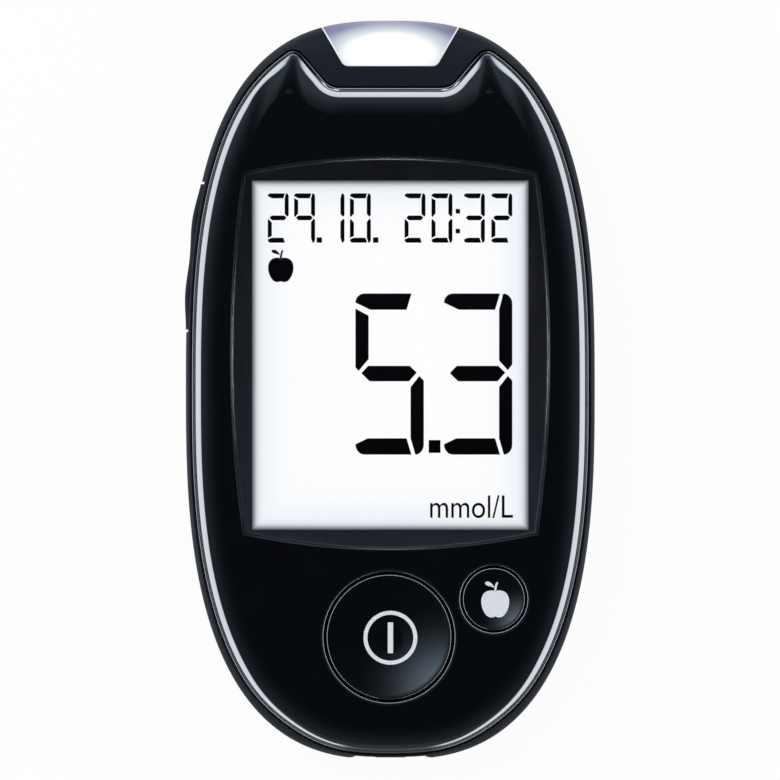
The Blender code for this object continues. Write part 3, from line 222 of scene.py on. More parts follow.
# %% Window and display
acrylic, tree, shader, place = new_material(
    "clear_cast_acrylic", {"Transmission Weight": 1.0, "Roughness": 0.0, "IOR": 1.49, "Base Color": hexed("#ffffff")},
)
VIEW_HALF_WIDTH = 19.6 * MM
VIEW_LOW_Y, VIEW_HIGH_Y = -19.797 * MM, 29.7 * MM
EDGE_SHADE = 10 * MM
lit_lcd, tree, shader, place = new_material(
    "lit_twisted_nematic_display", {"Roughness": 0.25, "Base Color": hexed("#14161a")},
)
split = add_node(tree, "SeparateXYZ", inputs=(place,))
side = add_node(tree, "Math", "ABSOLUTE", (split,))
side = add_node(tree, "Math", "SUBTRACT", (VIEW_HALF_WIDTH, side))
lift = add_node(tree, "Math", "SUBTRACT", (split.outputs[1], (VIEW_LOW_Y + VIEW_HIGH_Y) / 2))
lift = add_node(tree, "Math", "ABSOLUTE", (lift,))
ends = add_node(tree, "Math", "SUBTRACT", ((VIEW_HIGH_Y - VIEW_LOW_Y) / 2, lift))
near = add_node(tree, "Math", "SMOOTH_MIN", (side, ends, 0.4 * MM))
shade = add_node(tree, "MapRange", inputs=(near, 0.0, EDGE_SHADE))
lcd_ramp = add_node(tree, "ValToRGB", inputs=(shade,))
lcd_ramp.color_ramp.elements[0].color = hexed("#4c5056")
lcd_ramp.color_ramp.elements[1].color = hexed("#fafafa")
for position, code in (
    (0.02, "#7d8187"), (0.04, "#a2a6ae"), (0.06, "#c6c9d1"), (0.1, "#e2e5ea"), (0.16, "#edf0f4"), (0.46, "#f7f8fa"),
):
    lcd_ramp.color_ramp.elements.new(position).color = hexed(code)
tree.links.new(lcd_ramp.outputs[0], shader.inputs["Emission Color"])
shader.inputs["Emission Strength"].default_value = 1.1
mask_ink_and_reflection, tree, shader, place = new_material("screen_printed_mask_and_reflection", {"Roughness": 0.6, "Specular IOR Level": 0.1})
# Painted reflection: the print's colour runs from near black at the top to grey at the lower end.
split = add_node(tree, "SeparateXYZ", inputs=(place,))
down = add_node(tree, "MapRange", inputs=(split.outputs[1], 31 * MM, -21 * MM))
mask_painted_reflection = add_node(tree, "ValToRGB", inputs=(down,))
mask_painted_reflection.color_ramp.elements[0].color = hexed("#040506")
mask_painted_reflection.color_ramp.elements[1].color = hexed("#232932")
mask_painted_reflection.color_ramp.elements.new(0.5).color = hexed("#16181c")
speck = add_node(tree, "TexNoise", inputs={"Vector": place, "Scale": 1 / (0.1 * MM)})
worn = add_node(tree, "MapRange", inputs={0: speck, 3: 0.94, 4: 1.06})
ink_and_reflection = add_node(tree, "VectorMath", "SCALE", {0: mask_painted_reflection, "Scale": worn})
tree.links.new(ink_and_reflection.outputs[0], shader.inputs["Base Color"])
segment_ink = plastic("dark_lcd_segment", "#05070a", "#090b0f", (0.5, 0.6), 0.8 * MM, 0.0005 * MM, 1.45, sheen=0.0)
silver_print = plastic("silver_pad_print", "#d2d6de", "#dfe2ea", (0.38, 0.48), 0.3 * MM, 0.002 * MM, 1.45)
print("display:", lit_lcd.name, "print:", silver_print.name)

# %% [markdown]
# ## Metals, rubber and the board
# Screws, snap domes and the socket are nickel plated, the springs are gilt brass, and the mat is grey
# silicone. The board is glass fibre under green solder mask, with copper tracks that stand out a little
# lighter. Tracks are about 0.25 mm wide, so a brick pattern of that scale draws them.


# %% Metals and the rest
def metal(name, low, high, rough, size):
    material, tree, shader, place = new_material(name, {"Metallic": 1.0})
    stretch = add_node(tree, "Mapping", inputs={"Vector": place, "Scale": (1.0, 0.12, 1.0)})
    noise = grain(tree, shader, stretch, size, 0.002 * MM)
    tinted(tree, shader, noise, low, high)
    rubbed(tree, shader, noise, *rough)
    return material


nickel = metal("nickel_plated_steel", "#b3b0a8", "#cac7c0", (0.2, 0.34), 0.25 * MM)
steel = metal("stainless_coin_steel", "#c4c4c4", "#d6d6d8", (0.16, 0.3), 0.2 * MM)
gilt = metal("gilt_spring_brass", "#cfa85a", "#e2c07a", (0.18, 0.3), 0.2 * MM)
silicone = plastic("grey_silicone", "#7a7d80", "#85888b", (0.5, 0.62), 0.4 * MM, 0.004 * MM, 1.41)
rubber = plastic("soft_black_rubber", "#17191d", "#202328", (0.55, 0.7), 0.2 * MM, 0.008 * MM, 1.52)
epoxy = plastic("black_epoxy_moulding", "#1b1b1c", "#232324", (0.45, 0.6), 0.12 * MM, 0.006 * MM, 1.55)
white_pc = plastic("white_polycarbonate", "#e4e4e2", "#eeeeec", (0.3, 0.42), 0.5 * MM, 0.003 * MM, 1.58)
film = plastic("silver_polyester_film", "#aeb1b6", "#b9bcc1", (0.28, 0.36), 0.6 * MM, 0.002 * MM, 1.6)
board_fr4, tree, shader, place = new_material("solder_masked_board", {"Roughness": 0.3, "IOR": 1.5})
tracks = add_node(
    tree, "TexBrick", {"offset": 0.5},
    {"Vector": place, "Scale": 1 / (5 * MM), "Mortar Size": 0.05, "Color1": hexed("#0f5a33"),
     "Color2": hexed("#126038"), "Mortar": hexed("#1d7a48")},
)
tree.links.new(tracks.outputs[0], shader.inputs["Base Color"])
print("metals:", nickel.name, steel.name, gilt.name)

# %% [markdown]
# ## Lofted shells
# The housing is an oval whose sides follow a power curve, and each shell is a stack of such rings. By hand
# one would add a circle, extrude its edge loop and push each new loop into place. The helpers below do
# just that: a numbered layer rides on the points, so each extruded point knows its place in the next ring.


# %% Loft helpers
def start_ring(name, points):
    """Adds a circle primitive, sets its points on the first ring and stays in edit mode."""
    pick()
    bpy.ops.mesh.primitive_circle_add(vertices=len(points), radius=1 * MM)
    piece = bpy.context.object
    piece.name = piece.data.name = name
    bpy.ops.object.mode_set(mode="EDIT")
    form = bmesh.from_edit_mesh(piece.data)
    layer = form.verts.layers.int.new("place")
    for index, (vertex, point) in enumerate(zip(form.verts, points)):
        vertex[layer] = index
        vertex.co = point
    bmesh.update_edit_mesh(piece.data)
    return piece


def grow(points):
    """Extrudes the selected loop and sets it on the next ring."""
    bpy.ops.mesh.extrude_region_move()
    mesh = bpy.context.object.data
    form = bmesh.from_edit_mesh(mesh)
    layer = form.verts.layers.int["place"]
    for vertex in form.verts:
        if vertex.select:
            vertex.co = points[vertex[layer]]
    bmesh.update_edit_mesh(mesh)


def close_loft(joined=False):
    """Caps both ends, or joins the last ring to the first, and points the faces outwards."""
    mesh = bpy.context.object.data
    if joined:
        bpy.ops.mesh.select_all(action="SELECT")
        bpy.ops.mesh.remove_doubles(threshold=0.0001 * MM)
    else:
        bpy.ops.mesh.edge_face_add()
        form = bmesh.from_edit_mesh(mesh)
        form.verts.ensure_lookup_table()
        layer = form.verts.layers.int["place"]
        count = 1 + max(vertex[layer] for vertex in form.verts)
        bpy.ops.mesh.select_all(action="DESELECT")
        for vertex in form.verts[:count]:
            vertex.select_set(True)
        form.select_flush(True)
        bmesh.update_edit_mesh(mesh)
        bpy.ops.mesh.edge_face_add()
    bpy.ops.mesh.select_all(action="SELECT")
    bpy.ops.mesh.normals_make_consistent(inside=False)
    bpy.ops.object.mode_set(mode="OBJECT")
    mesh.attributes.remove(mesh.attributes["place"])


def loft(name, rings, joined=False):
    piece = start_ring(name, rings[0])
    for ring in rings[1:]:
        grow(ring)
    close_loft(joined)
    return piece


def arc(centre, radius, first, last, steps):
    """Flat points on a circle, from one angle to another."""
    turns = [first + (last - first) * step / steps for step in range(steps + 1)]
    return [Vector((centre[0] + radius * math.cos(turn), centre[1] + radius * math.sin(turn))) for turn in turns]


def level(points, height):
    """Flat points as a ring at one height."""
    return [Vector((point[0], point[1], height)) for point in points]


def prism(name, points, low, high):
    return loft(name, [level(points, low), level(points, high)])


def slab(name, low, high):
    """A box between two corners."""
    return prism(name, [low[:2], (high[0], low[1]), high[:2], (low[0], high[1])], low[2], high[2])


def modify(piece, kind, **settings):
    """Adds a modifier with its settings and applies it."""
    pick(piece)
    bpy.ops.object.modifier_add(type=kind)
    modifier = piece.modifiers[-1]
    for name, value in settings.items():
        setattr(modifier, name, value)
    bpy.ops.object.modifier_apply(modifier=modifier.name)


def cut(piece, tool, operation="DIFFERENCE"):
    """Cuts, joins or intersects a piece with a tool, and removes the tool."""
    modify(piece, "BOOLEAN", operation=operation, object=tool, solver="EXACT")
    bpy.data.objects.remove(tool)


def add(piece, tool):
    cut(piece, tool, "UNION")


def copy_to(piece, name, shift):
    """A copy with its own mesh, moved, with its place in its mesh."""
    pick(piece)
    bpy.ops.object.duplicate()
    twin = bpy.context.object
    twin.name = twin.data.name = name
    bpy.ops.transform.translate(value=shift)
    bpy.ops.object.transform_apply(location=True, rotation=False, scale=False)
    return twin


def opened(piece):
    """Opens a piece in edit mode and returns its mesh."""
    pick(piece)
    bpy.ops.object.mode_set(mode="EDIT")
    return bmesh.from_edit_mesh(piece.data)


def soften(piece, width, segments, test):
    """Bevels the sharp edges that pass a test of their middle point and direction."""
    form = opened(piece)
    bpy.ops.mesh.select_mode(type="EDGE")
    bpy.ops.mesh.select_all(action="DESELECT")
    for edge in form.edges:
        middle = (edge.verts[0].co + edge.verts[1].co) / 2
        if len(edge.link_faces) == 2 and edge.calc_face_angle() > math.radians(35) and test(middle, edge):
            edge.select_set(True)
    bmesh.update_edit_mesh(piece.data)
    bpy.ops.mesh.bevel(offset=width, segments=segments, affect="EDGES", clamp_overlap=True)
    bpy.ops.mesh.select_mode(type="VERT")
    bpy.ops.object.mode_set(mode="OBJECT")


def crease(piece, height, least=6):
    """Keeps an edge sharp where a slope of more than a few degrees runs into the flat at one height."""
    form = opened(piece)
    for edge in form.edges:
        if len(edge.link_faces) == 2 and all(abs(vertex.co.z - height) < 0.002 * MM for vertex in edge.verts):
            if edge.calc_face_angle() > math.radians(least):
                edge.smooth = False
    bmesh.update_edit_mesh(piece.data)
    bpy.ops.object.mode_set(mode="OBJECT")


SMOOTH_BELOW = 32


def finish_piece(piece, body, material, slot, *replaced):
    """Smooths a piece, keeps its flats flat, gives it its material and its place in the frame."""
    pick(piece)
    bpy.ops.object.shade_smooth_by_angle(angle=math.radians(SMOOTH_BELOW))
    modify(piece, "WEIGHTED_NORMAL", keep_sharp=True)
    piece.data.materials.clear()
    piece.data.materials.append(material)
    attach(piece, body)
    if replaced:
        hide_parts(*replaced)
    print(piece.name, "has", len(piece.data.polygons), "faces")
    return piece


# %% [markdown]
# The outline repeats the values of the solid model: half the width and length, and the powers of the
# curve, which differ a little between the upper and the lower half. A turn of zero points right.

# %% The oval outline
HALF_WIDTH, HALF_LENGTH = 29.06 * MM, 52.5 * MM
UPPER_POWERS, LOWER_POWERS = (2.75, 2.8), (2.65, 2.75)
SIDE_INSET, CORNER_INSET, END_INSET = 0.93 * MM, 0.27 * MM, 0.38 * MM
END_TURN, END_SPREAD = math.radians(65), math.radians(13)
OVAL_STEPS = 200


def signed_power(base, power):
    return math.copysign(abs(base) ** power, base)


def oval_point(turn, inset=0.0):
    """A point of the outline, moved in along the outline's normal."""
    across, along = math.cos(turn), math.sin(turn)
    width_power, length_power = UPPER_POWERS if along >= 0 else LOWER_POWERS
    share_x, share_y = signed_power(across, 2 / width_power), signed_power(along, 2 / length_power)
    normal = Vector((
        signed_power(share_x, width_power - 1) / HALF_WIDTH,
        signed_power(share_y, length_power - 1) / HALF_LENGTH,
    ))
    return Vector((HALF_WIDTH * share_x, HALF_LENGTH * share_y)) - normal.normalized() * inset


def oval_half_width(y):
    width_power, length_power = UPPER_POWERS if y >= 0 else LOWER_POWERS
    return HALF_WIDTH * (1 - (abs(y) / HALF_LENGTH) ** length_power) ** (1 / width_power)


def cover_inset(turn):
    """How far the front cover's outline lies inside the housing's; most of all near the ends' corners."""
    folded = math.asin(min(1.0, abs(math.sin(turn))))
    near_end = math.exp(-((folded - END_TURN) / END_SPREAD) ** 2)
    return SIDE_INSET + CORNER_INSET * math.sin(2 * turn) ** 2 + END_INSET * near_end


def oval_turns(steps=OVAL_STEPS):
    return [2 * math.pi * step / steps for step in range(steps)]


def oval_ring(inset, height, steps=OVAL_STEPS):
    return level([oval_point(turn, inset) for turn in oval_turns(steps)], height)


def smooth_shares(shares, steps=4):
    """More points on the smooth curve through a short table of points."""
    out = []
    for index in range(len(shares) - 1):
        before = shares[max(index - 1, 0)]
        start, end = shares[index], shares[index + 1]
        after = shares[min(index + 2, len(shares) - 1)]
        for step in range(steps):
            t = step / steps
            out.append(tuple(
                0.5 * (2 * b + (c - a) * t + (2 * a - 5 * b + 4 * c - d) * t * t + (3 * b - a - 3 * c + d) * t ** 3)
                for a, b, c, d in zip(before, start, end, after)
            ))
    return out + [shares[-1]]


print("half width at mid length in mm:", round(oval_half_width(0) / MM, 2))

# %% [markdown]
# ## Outline of the front cover
# The cover's outline follows the oval up its sides, turns round two ears and dips into a saddle between
# them. A small circle fits each ear between the side and the saddle's slope, and the place of that circle
# is found by halving, because it has no neat formula.

# %% Ears and saddle
SADDLE_Y, SADDLE_HALF, SADDLE_SLOPE = 42.8 * MM, 8.58 * MM, math.radians(49.5)
SADDLE_ROUND, EAR_ROUND, EAR_ROUND_LEAST, EAR_WIDENING = 3 * MM, 1.5 * MM, 0.5 * MM, 0.8
COVER_STEPS = {"side": 84, "ear": 10, "slope": 10, "saddle": 10}
SLOPE_INTO = Vector((math.sin(SADDLE_SLOPE), -math.cos(SADDLE_SLOPE)))


def saddle_arc(inset):
    """The rounded corner at the foot of the saddle's right slope."""
    radius = SADDLE_ROUND + inset
    centre_x = SADDLE_HALF - SADDLE_ROUND * (1 + SLOPE_INTO.y) / SLOPE_INTO.x
    first = math.atan2(SLOPE_INTO.y, SLOPE_INTO.x)
    return arc((centre_x, SADDLE_Y + SADDLE_ROUND), radius, first, -math.pi / 2, COVER_STEPS["saddle"])


def ear_turn(inset, radius):
    """The turn at which a circle of this radius fits between the side and the saddle's slope."""
    low, high = math.radians(45), math.radians(85)
    for _ in range(40):
        middle = (low + high) / 2
        centre = oval_point(middle, cover_inset(middle) + inset + radius)
        if (centre - Vector((SADDLE_HALF, SADDLE_Y))).dot(SLOPE_INTO) > inset + radius:
            low = middle
        else:
            high = middle
    return low


def ear_fit(inset):
    """An ear's radius, and the turn where its rounding starts."""
    beyond = inset - (EAR_ROUND - EAR_ROUND_LEAST)
    radius = EAR_ROUND - inset if beyond < 0 else EAR_ROUND_LEAST + EAR_WIDENING * beyond
    return radius, ear_turn(inset, radius)


def cover_ring(inset, height):
    """The front cover's outline with its ears and saddle, moved in by inset."""
    radius, last = ear_fit(inset)
    half = []
    for step in range(COVER_STEPS["side"] + 1):
        turn = -math.pi / 2 + (last + math.pi / 2) * step / COVER_STEPS["side"]
        half.append(oval_point(turn, cover_inset(turn) + inset))
    centre = oval_point(last, cover_inset(last) + inset + radius)
    outward = half[-1] - centre
    first = math.atan2(outward.y, outward.x)
    final = math.atan2(-SLOPE_INTO.y, -SLOPE_INTO.x)
    half += arc(centre, radius, first, final, COVER_STEPS["ear"])[1:]
    corner_arc = saddle_arc(inset)
    half += [half[-1].lerp(corner_arc[0], step / COVER_STEPS["slope"]) for step in range(1, COVER_STEPS["slope"])]
    half += corner_arc + [Vector((0, SADDLE_Y - inset))]
    return level(half + [Vector((-point.x, point.y)) for point in reversed(half[1:-1])], height)


print("points round the cover:", len(cover_ring(0, 0)))

# %% [markdown]
# ## Height of the nose
# At the top the band rises into a nose, a dome that follows the outline. The cover's edge beside it has to
# start as high as the nose, so the dome's shape comes first: how far in, and how far up, as shares. The
# band gets higher towards the nose, so that the two run into each other without a step.

# %% Nose dome
FRAME_FOOT, FRAME_TOP, FRAME_WALL, FRAME_LIP = 9.15 * MM, 12.7 * MM, 2.6 * MM, 0.45 * MM
NOSE_TOP, NOSE_RISE_INSET, NOSE_WALL = 16.4 * MM, 8.5 * MM, 1.5 * MM
NOSE_FOOT = 10.9 * MM
NOSE_SHARES = smooth_shares(
    ((0.0, 0.0), (0.014, 0.2), (0.056, 0.49), (0.14, 0.67), (0.3, 0.82), (0.59, 0.93), (1.0, 1.0)), 3,
)
RIM_POINTS = [oval_point(turn) for turn in oval_turns(720)]


def dome_height(point):
    """How high the nose's dome is over a point."""
    share = min(math.dist(point, rim) for rim in RIM_POINTS) / NOSE_RISE_INSET
    for (near, low), (far, high) in zip(NOSE_SHARES, NOSE_SHARES[1:]):
        if share <= far:
            return FRAME_FOOT + (NOSE_TOP - FRAME_FOOT) * (low + (high - low) * (share - near) / (far - near))
    return NOSE_TOP


def smooth(value):
    value = min(max(value, 0.0), 1.0)
    return value * value * (3 - 2 * value)


NOSE_FROM, NOSE_FULL = math.radians(38), math.radians(64)


def band_stretch(turn):
    """How much higher the band gets as it runs up into the nose."""
    folded = math.asin(max(-1.0, min(1.0, math.sin(turn))))
    lip = oval_point(turn, cover_inset(turn) - FRAME_LIP)
    gain = (dome_height(lip) - FRAME_FOOT) / (FRAME_TOP - FRAME_FOOT)
    return 1 + max(0.0, gain - 1) * smooth((folded - NOSE_FROM) / (NOSE_FULL - NOSE_FROM))


print("nose over the saddle in mm:", round(dome_height((0, SADDLE_Y)) / MM, 2))

# %% [markdown]
# ## Front cover
# Seen from above, the real cover shows a hair line at its foot, then a bright band, then black. Each is
# a slope that mirrors a strip light: a tiny chamfer at the foot, a gentle bead along the edge, and a crown
# that flattens out towards the display. So the cover is a stack of rings whose slopes are chosen. Beside
# the nose the foot rises with it, and round the two ears the bead fades out.

# %% Edge profile of the cover
COVER_FOOT, COVER_TOP = 13.0 * MM, 18.0 * MM
FOOT_SLOPES = ((0.02, 80), (0.12, 31), (0.16, 62))
STEEP_REACHES = (0.3, 0.42)
BEAD_SLOPES = ((0.5, 52), (0.56, 36), (0.8, 33), (1.05, 30), (1.25, 27))
CROWN_SLOPES = ((1.33, 24.5), (1.85, 21.5), (2.35, 18), (2.85, 15), (3.35, 12.5), (3.8, 10.8))
EAR_SLOPES = ((0.5, 62), (0.56, 25), (0.8, 24.7), (1.05, 24.4), (1.25, 24))
EAR_CROWN = ((1.33, 24.5), (1.85, 23.8), (2.35, 22.8), (2.85, 21.5), (3.35, 19.5), (3.8, 17))
EAR_NEAR, EAR_FAR = 1.2 * MM, 4.5 * MM
WIDE_NEAR, WIDE_FAR = 4 * MM, 10 * MM
NOSE_DROP = 0.15 * MM


def rises(slopes, before):
    out = []
    for reach, slope in slopes:
        out.append((reach - before) * math.tan(math.radians(slope)) * MM)
        before = reach
    return out


def climb(slopes, top):
    """Reach and height pairs of a chain of slopes that ends at a height."""
    steps = rises(slopes, 0)
    heights = [top - sum(steps[number:]) for number in range(len(steps) + 1)]
    return list(zip([0] + [reach * MM for reach, _ in slopes], heights))


FOOT_RISES = rises(FOOT_SLOPES, 0)
BEAD_RISES = rises(BEAD_SLOPES, STEEP_REACHES[-1])
EAR_RISES = rises(EAR_SLOPES, STEEP_REACHES[-1])
EAR_CROWN_RISES = rises(EAR_CROWN, BEAD_SLOPES[-1][0])
CROWN_RISES = rises(CROWN_SLOPES, BEAD_SLOPES[-1][0])
COVER_REACHES = [0] + [reach for reach, _ in FOOT_SLOPES] + list(STEEP_REACHES)
COVER_REACHES += [reach for reach, _ in BEAD_SLOPES + CROWN_SLOPES]


def foot_heights():
    """Where the visible edge starts at each point of the outline: above the band, and along the nose."""
    outline = cover_ring(0, 0)
    half = len(outline) // 2 + 1
    first = COVER_STEPS["side"]
    last = ear_fit(0)[1]
    heights = []
    for index, point in enumerate(outline[:half]):
        turn = -math.pi / 2 + (last + math.pi / 2) * min(index / first, 1)
        beside = FRAME_FOOT + (FRAME_TOP - FRAME_FOOT) * band_stretch(turn) + COVER_FOOT + 0.02 * MM - FRAME_TOP
        nose = max(dome_height(point.xy) - NOSE_DROP, beside)
        heights.append(beside + (nose - beside) * smooth((index - first) / COVER_STEPS["ear"]))
    return heights + heights[-2:0:-1]


def blended(rises_away, rises_near, share):
    return [away + (near - away) * share for away, near in zip(rises_away, rises_near)]


def edge_heights(foot, ear, wide):
    """Heights of one point of the outline in every ring; both shares are 1 at an ear's tip and fade from it."""
    bead = blended(BEAD_RISES, EAR_RISES, ear)
    crown = blended(CROWN_RISES, EAR_CROWN_RISES, wide)
    steep = COVER_TOP - foot - sum(FOOT_RISES) - sum(bead) - sum(crown)
    heights = [foot]
    for step in FOOT_RISES + [steep / 2, steep / 2] + bead + crown:
        heights.append(heights[-1] + step)
    return heights


feet = foot_heights()
tips = cover_ring(0, 0)
tip_index = COVER_STEPS["side"] + COVER_STEPS["ear"] // 2
ear_tip = tips[tip_index]
columns = []
for foot, point in zip(feet, tips):
    away = math.dist((abs(point.x), point.y), ear_tip.xy)
    ear = 1 - smooth((away - EAR_NEAR) / (EAR_FAR - EAR_NEAR))
    wide = 1 - smooth((away - WIDE_NEAR) / (WIDE_FAR - WIDE_NEAR))
    columns.append(edge_heights(foot, ear, wide))
print("feet from", round(min(feet) / MM, 2), "to", round(max(feet) / MM, 2), "mm")

# %% Front cover
COVER_SKIRT, COVER_UNDER = 1.4 * MM, 15.6 * MM
rings = [
    cover_ring(COVER_SKIRT + 1.2 * MM, COVER_UNDER),
    cover_ring(COVER_SKIRT, COVER_UNDER - 1.2 * MM),
    cover_ring(COVER_SKIRT, COVER_FOOT),
    cover_ring(0, COVER_FOOT),
]
for number, reach in enumerate(COVER_REACHES):
    ring = cover_ring(reach * MM, 0)
    rings.append([Vector((point.x, point.y, column[number])) for point, column in zip(ring, columns)])
front_cover = loft("cover_shell", rings)
print("rings in the cover:", len(rings))

# %% [markdown]
# The window lies in a shallow pocket, and the display shows through an opening in the pocket's floor. The
# window's outline is a barrel: four bowed sides between four corners.

# %% Window pocket and view
DISPLAY_Y = (VIEW_LOW_Y + VIEW_HIGH_Y) / 2
WINDOW_HALF, WINDOW_REACH, WINDOW_Y = 20.6 * MM, 25.4 * MM, DISPLAY_Y + 0.25 * MM
SIDE_BULGE, END_BULGE = 1.8 * MM, 2.2 * MM
WINDOW_STEPS = 24


def window_outline(margin):
    half_x, half_y = WINDOW_HALF + margin, WINDOW_REACH + margin
    shares = [-1 + 2 * step / WINDOW_STEPS for step in range(WINDOW_STEPS)]
    points = [(half_x + SIDE_BULGE * (1 - share * share), half_y * share) for share in shares]
    points += [(-half_x * share, half_y + END_BULGE * (1 - share * share)) for share in shares]
    points += [(-x, -y) for x, y in points]
    return [(x, y + WINDOW_Y) for x, y in points]


GROOVE_SLOPES = ((0.08, 25.5), (0.16, 25.1), (0.22, 24))


def groove_rings(margin, top, side):
    """The window's outline up a gentle chamfer to the flat; side is 1 for outwards and -1 for inwards."""
    return [level(window_outline(margin + side * reach), height) for reach, height in climb(GROOVE_SLOPES, top)]


def disc(place, radius, steps):
    return arc(place, radius, 0, 2 * math.pi, steps)[:-1]


SEAM, WINDOW_SEAM = 0.3 * MM, 0.1 * MM
POCKET_FLOOR = 16.65 * MM
POWER_PLACE, POWER_RADIUS, POWER_HOLE = (-0.18 * MM, -35.0 * MM), 8.87 * MM, 9.25 * MM
MARK_PLACE, MARK_RADIUS, MARK_HOLE = (14.67 * MM, -29.62 * MM), 4.42 * MM, 4.72 * MM
KEY_STEPS = 96
OVERRUN = 4 * MM
FLARE_SLOPES = ((0.02, 80), (0.05, 60), (0.09, 44), (0.115, 33), (0.2, 22), (0.35, 17), (0.5, 13))


def turned(name, place, profile, steps=KEY_STEPS):
    return loft(name, [level(disc(place, radius, steps), height) for radius, height in profile])


def flared(name, place, radius):
    """A turned tool whose upper edge flares out, so that the hole gets a soft rim."""
    profile = [(radius, COVER_FOOT)] + [(radius + reach, height) for reach, height in climb(FLARE_SLOPES, COVER_TOP)]
    profile.append((radius + (FLARE_SLOPES[-1][0] + 0.1) * MM, COVER_TOP + 1 * MM))
    return turned(name, place, profile)


def view_tool():
    high = (VIEW_HALF_WIDTH, VIEW_HIGH_Y, COVER_TOP + OVERRUN)
    return slab("view", (-VIEW_HALF_WIDTH, VIEW_LOW_Y, COVER_FOOT), high)


pocket = [level(window_outline(WINDOW_SEAM), POCKET_FLOOR)] + groove_rings(WINDOW_SEAM, COVER_TOP, 1)
pocket.append(level(window_outline(WINDOW_SEAM + 0.4 * MM), COVER_TOP + 1 * MM))
cut(front_cover, loft("pocket", pocket))
cut(front_cover, flared("power_hole", POWER_PLACE, POWER_HOLE))
cut(front_cover, flared("mark_hole", MARK_PLACE, MARK_HOLE))
cut(front_cover, view_tool())
crease(front_cover, COVER_TOP)
finish_piece(front_cover, "housing", gloss_abs, "gloss_shell", "front_cover")

# %% [markdown]
# ## Window
# A plate of acrylic, 1 mm thick. Its upper edge and the pocket's have a gentle chamfer each, and the groove
# between them catches a line of light all round. Under it lies the screen print.

# %% Window plate
WINDOW_TOP, WINDOW_THICKNESS = 17.95 * MM, 1 * MM
under = level(window_outline(0), WINDOW_TOP - WINDOW_THICKNESS)
window = loft("window_plate", [under] + groove_rings(0, WINDOW_TOP, -1))
crease(window, WINDOW_TOP)
finish_piece(window, "housing", acrylic, "window", "display_window")
mask = prism("window_mask", window_outline(0), POCKET_FLOOR + 0.02 * MM, POCKET_FLOOR + 0.05 * MM)
cut(mask, view_tool())
finish_piece(mask, "housing", mask_ink_and_reflection, "gloss_shell")

# %% [markdown]
# ## Band and nose
# The middle frame is the matt band between the two shells. At the top it rises into a nose that carries
# the strip port and its light. The band is a closed ring of section loops, and the nose is cut from a
# smooth dome with the saddle's outline.

# %% Band
STRETCHES = [band_stretch(turn) for turn in oval_turns()]


def band_ring(share, inward, height):
    """A ring between the outline and the band's lip, moved further in, and higher towards the nose."""
    ring = []
    for turn, stretch in zip(oval_turns(), STRETCHES):
        point = oval_point(turn, (cover_inset(turn) - FRAME_LIP) * share + inward)
        ring.append(Vector((point.x, point.y, FRAME_FOOT + (height - FRAME_FOOT) * stretch)))
    return ring


LIP_ROUND = 0.16 * MM
rings = [oval_ring(FRAME_WALL, FRAME_FOOT), oval_ring(0.1 * MM, FRAME_FOOT), oval_ring(0, FRAME_FOOT + 0.12 * MM)]
BAND_RISE, BAND_SHARES = 3.3 * MM, ((0.06, 0.3), (0.25, 0.58), (0.6, 0.84))
rings += [band_ring(share, 0, FRAME_FOOT + BAND_RISE * rise) for share, rise in BAND_SHARES]
for step in range(5):
    angle = math.radians(8 + 82 * step / 4)
    rings.append(band_ring(
        1, -LIP_ROUND + LIP_ROUND * (1 - math.cos(angle)) + 0.16 * MM, FRAME_TOP - LIP_ROUND * (1 - math.sin(angle)),
    ))
rings.append(level([oval_point(turn, cover_inset(turn) + 0.1 * MM) for turn in oval_turns()], FRAME_TOP - 0.2 * MM))
rings += [oval_ring(FRAME_WALL, FRAME_TOP - 0.2 * MM), oval_ring(FRAME_WALL, FRAME_FOOT)]
band = loft("frame_band", rings, joined=True)
print("band sections:", len(rings))

# %% Nose
def nose_rings(inset, drop, foot=None):
    rings = [
        oval_ring(inset + NOSE_RISE_INSET * inward, FRAME_FOOT + (NOSE_TOP - FRAME_FOOT) * upward - drop)
        for inward, upward in NOSE_SHARES
    ]
    return rings if foot is None else [oval_ring(inset, foot)] + rings


def nose_outline(margin):
    """The ground beyond the saddle and the ears, kept back from the front cover, and open to the top."""
    ring = cover_ring(margin, 0)
    right = [point.xy for point in ring[COVER_STEPS["side"]:len(ring) // 2 + 1]]
    outside = oval_point(ear_fit(margin)[1], -1 * MM)
    right = [(outside.x, HALF_LENGTH + 2 * MM), outside] + right
    return [tuple(point) for point in right] + [(-point[0], point[1]) for point in reversed(right[:-1])]


LENS_ROUND = 1.1 * MM


def lens_outline(margin):
    """A trapezoid with rounded lower corners that runs out past the outline."""
    slope = Vector((LENS_TOP_HALF - LENS_FOOT_HALF, LENS_TOP_Y - LENS_FOOT_Y)).normalized()
    outward = Vector((slope.y, -slope.x))
    foot = Vector((LENS_FOOT_HALF, LENS_FOOT_Y)) + outward * margin
    foot -= slope * ((foot.y - LENS_FOOT_Y + margin) / slope.y)
    top = foot + slope * ((HALF_LENGTH + OVERRUN - foot.y) / slope.y)
    radius = LENS_ROUND + margin
    centre = Vector((foot.x + radius * (slope.x - 1) / slope.y, foot.y + radius))
    last = math.atan2(outward.y, outward.x)
    right = arc(centre, radius, -math.pi / 2, last, 8) + [top]
    return right + [(-x, y) for x, y in reversed(right)]


nose = prism("nose", nose_outline(-SEAM), NOSE_FOOT, COVER_TOP)
cut(nose, loft("nose_form", nose_rings(0, 0)), "INTERSECT")
hollow = prism("nose_hollow", nose_outline(-SEAM - NOSE_WALL), 0, COVER_TOP)
cut(hollow, loft("nose_inner", nose_rings(NOSE_WALL, NOSE_WALL, 0)), "INTERSECT")
cut(nose, hollow)


EAR_START = oval_point(ear_fit(-SEAM)[1], cover_inset(ear_fit(-SEAM)[1]) - SEAM)


